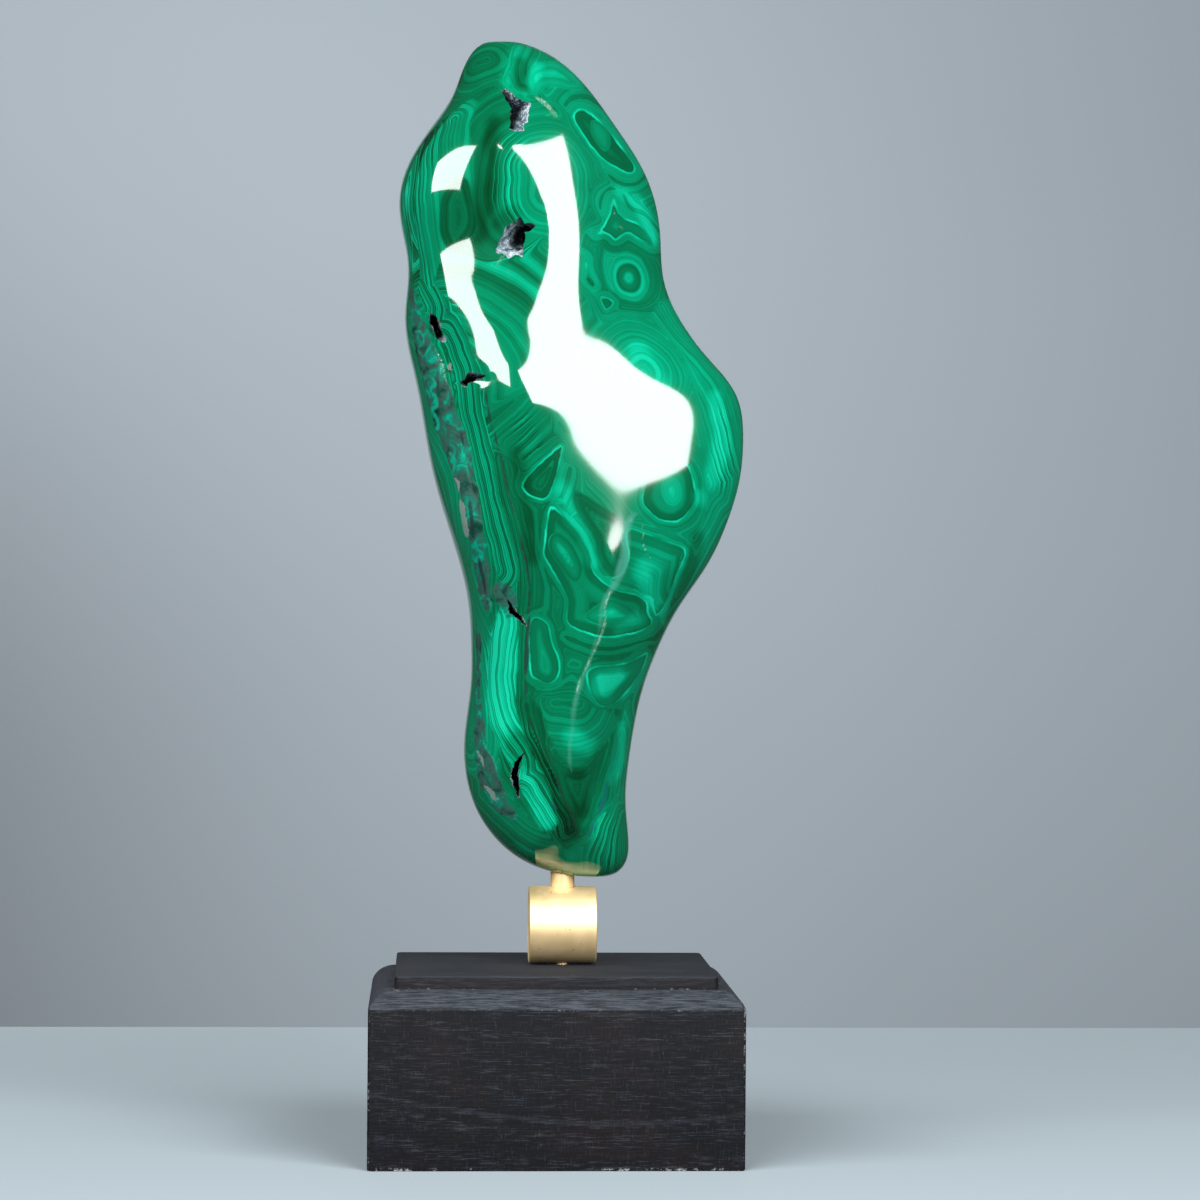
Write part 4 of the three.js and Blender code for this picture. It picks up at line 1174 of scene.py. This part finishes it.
def woodenBlock(material):
    width, depth, height = block["widthMm"] * mm, block["depthMm"] * mm, block["heightMm"] * mm
    stepFoot = height - block["stepHeightMm"] * mm
    shoulder = stepFoot - block["dropMm"] * mm
    bpy.ops.object.select_all(action="DESELECT")
    bpy.ops.mesh.primitive_cube_add(size=1, location=(0, 0, shoulder / 2))
    piece = bpy.context.object
    piece.name = "base_block"
    piece.scale = (width, depth, shoulder)
    settle(piece)
    editFaces(piece, lambda centre, normal: centre.z > shoulder - 1e-6 and normal.z > 0.99)
    start = math.radians(block["arcFrom"])
    wholeIn, wholeUp = math.cos(start), 1 - math.sin(start)
    earlierIn = earlierUp = 0.0
    for i in range(1, block["arcSteps"] + 1):
        angle = start + (math.pi / 2 - start) * i / block["arcSteps"]
        inward = (math.cos(start) - math.cos(angle)) / wholeIn * block["stepInsetMm"] * mm
        upward = (math.sin(angle) - math.sin(start)) / wholeUp * block["dropMm"] * mm
        bpy.ops.mesh.inset(thickness=inward - earlierIn, depth=upward - earlierUp)
        earlierIn, earlierUp = inward, upward
    arris = block["arrisMm"] * mm
    rise = block["stepHeightMm"] * mm - arris
    bpy.ops.mesh.extrude_region_move(TRANSFORM_OT_translate={"value": (0, 0, rise)})
    bpy.ops.mesh.inset(thickness=arris * 0.3, depth=arris * 0.7)
    bpy.ops.mesh.inset(thickness=arris * 0.7, depth=arris * 0.3)
    doneEditing()

    def onCorner(point):  # every corner's points are as far in from the side as from the front or back
        return abs((abs(point.x) - width / 2) - (abs(point.y) - depth / 2)) < 1e-6

    def mitred(a, b):  # an edge that runs up one corner
        return onCorner(a) and onCorner(b) and a.x * b.x > 0 and a.y * b.y > 0

    editEdges(piece, mitred)
    bpy.ops.mesh.bevel(offset=block["cornerMm"] * mm, segments=4, affect="EDGES")
    doneEditing()
    editEdges(piece, lambda a, b: a.z < 1e-6 and b.z < 1e-6)
    bpy.ops.mesh.bevel(offset=block["footMm"] * mm, segments=2, affect="EDGES")
    doneEditing()
    fit = brass["fitMm"]
    hole = turnedRod("studHole", brass["studRadiusMm"] + fit, brass["studFootMm"] - fit,
                     block["studHoleTopMm"], 0, around=48)
    piece.data.materials.append(material)
    hole.data.materials.append(material)
    cutAway(piece, hole)
    smoothShaded(piece, block["smoothBelow"])
    return piece


def woodMaterial():
    material, wire, place = newMaterial("blackenedOak")
    x, y, z = place.parts()
    drift = place.stretched((0.25, 1, 1)).speckle(0.03, 2.0)
    arch = (x - 0.015) * (x - 0.015) * 1.6
    rings = z - y * 0.35 - arch + drift * 0.006
    bands = rings.layers(0.0045, 2.0)
    fine = place.stretched((0.06, 1, 1)).speckle(0.00050, 3.0, 0.8)
    strokes = place.stretched((0.05, 1, 1)).speckle(0.0010, 3.0, 0.6)
    patches = place.stretched((0.5, 1, 1)).speckle(0.016, 3.0)
    ticks = place.stretched((1, 1, 0.14)).speckle(0.00045, 2.0, 0.7)

    stepEdgeX = (block["widthMm"] / 2 - block["stepInsetMm"]) * mm
    stepEdgeY = (block["depthMm"] / 2 - block["stepInsetMm"]) * mm
    top = block["heightMm"] * mm
    stepFoot = top - block["stepHeightMm"] * mm
    shoulder = stepFoot - block["dropMm"] * mm
    beyond = (abs(x) - stepEdgeX).higher(abs(y) - stepEdgeY)
    moulding = z.between(shoulder - 0.00015, shoulder + 0.0004) * beyond.between(-0.0002, 0.0006)
    onTop = z.between(top - 0.0008, top - 0.0004)
    stepSide = z.between(stepFoot + 0.0002, stepFoot + 0.0008) * (1 - onTop)

    base = wire.mixed(block["colour"], block["brown"], patches.between(0.40, 0.64) * 0.8)
    grey = fine.between(0.50, 0.68) * 0.46 + strokes.between(0.56, 0.70) * 0.10
    grey = grey * (bands.between(0.38, 0.62) * 0.8 + 0.28)
    weave = place.speckle(0.0007, 2.0, 0.7).between(0.52, 0.72)
    grey = grey + (weave * 0.6 + 0.25) * ticks.between(0.56, 0.72) * 0.45
    grey = grey + bands.between(0.60, 0.68) * (1 - z.between(0.012, 0.03)) * 0.12
    grey = grey * (1 - onTop * 0.3 - stepSide * 0.3)
    colour = base.dyed(block["grainPale"], grey.clamped())
    dusty = moulding * (patches * 0.3 + fine.between(0.36, 0.64) * 0.9)
    dusty = dusty + onTop * (patches * 0.3 + fine * 0.3)
    colour = colour.dyed(block["dust"], dusty.clamped())

    cornerX = (block["widthMm"] / 2) * mm - abs(x)
    cornerY = (block["depthMm"] / 2) * mm - abs(y)
    corner = cornerX.higher(cornerY)
    edge = (1 - z.between(0.0003, 0.0014)).higher(1 - corner.between(0.0002, 0.0010))
    edge = edge.higher((1 - abs(z - shoulder).between(0.0, 0.0004)) * 0.35)
    edge = edge.higher((1 - abs(z - stepFoot).between(0.0002, 0.0006)) * 0.3)
    chips = place.speckle(0.0018, 3.0, 0.7) + place.speckle(0.018, 1.0) * 0.35
    worn = edge * chips.between(0.76, 0.90)
    colour = colour.dyed(block["worn"], (worn * 0.8).clamped())

    rough = 0.70 + fine * 0.12 + dusty * 0.1 - stepSide * 0.05
    relief = fine * 0.5 + strokes * 0.5
    return finished(material, wire, {
        "Base Color": colour, "Roughness": rough.clamped(), "IOR": block["gloss"],
        "Normal": relief.bumps(0.35, 0.00025)})


blackenedOak = woodMaterial()
baseBlock = woodenBlock(blackenedOak)
wear(baseBlock, blackenedOak)
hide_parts("wooden_base")
print("wooden base made")
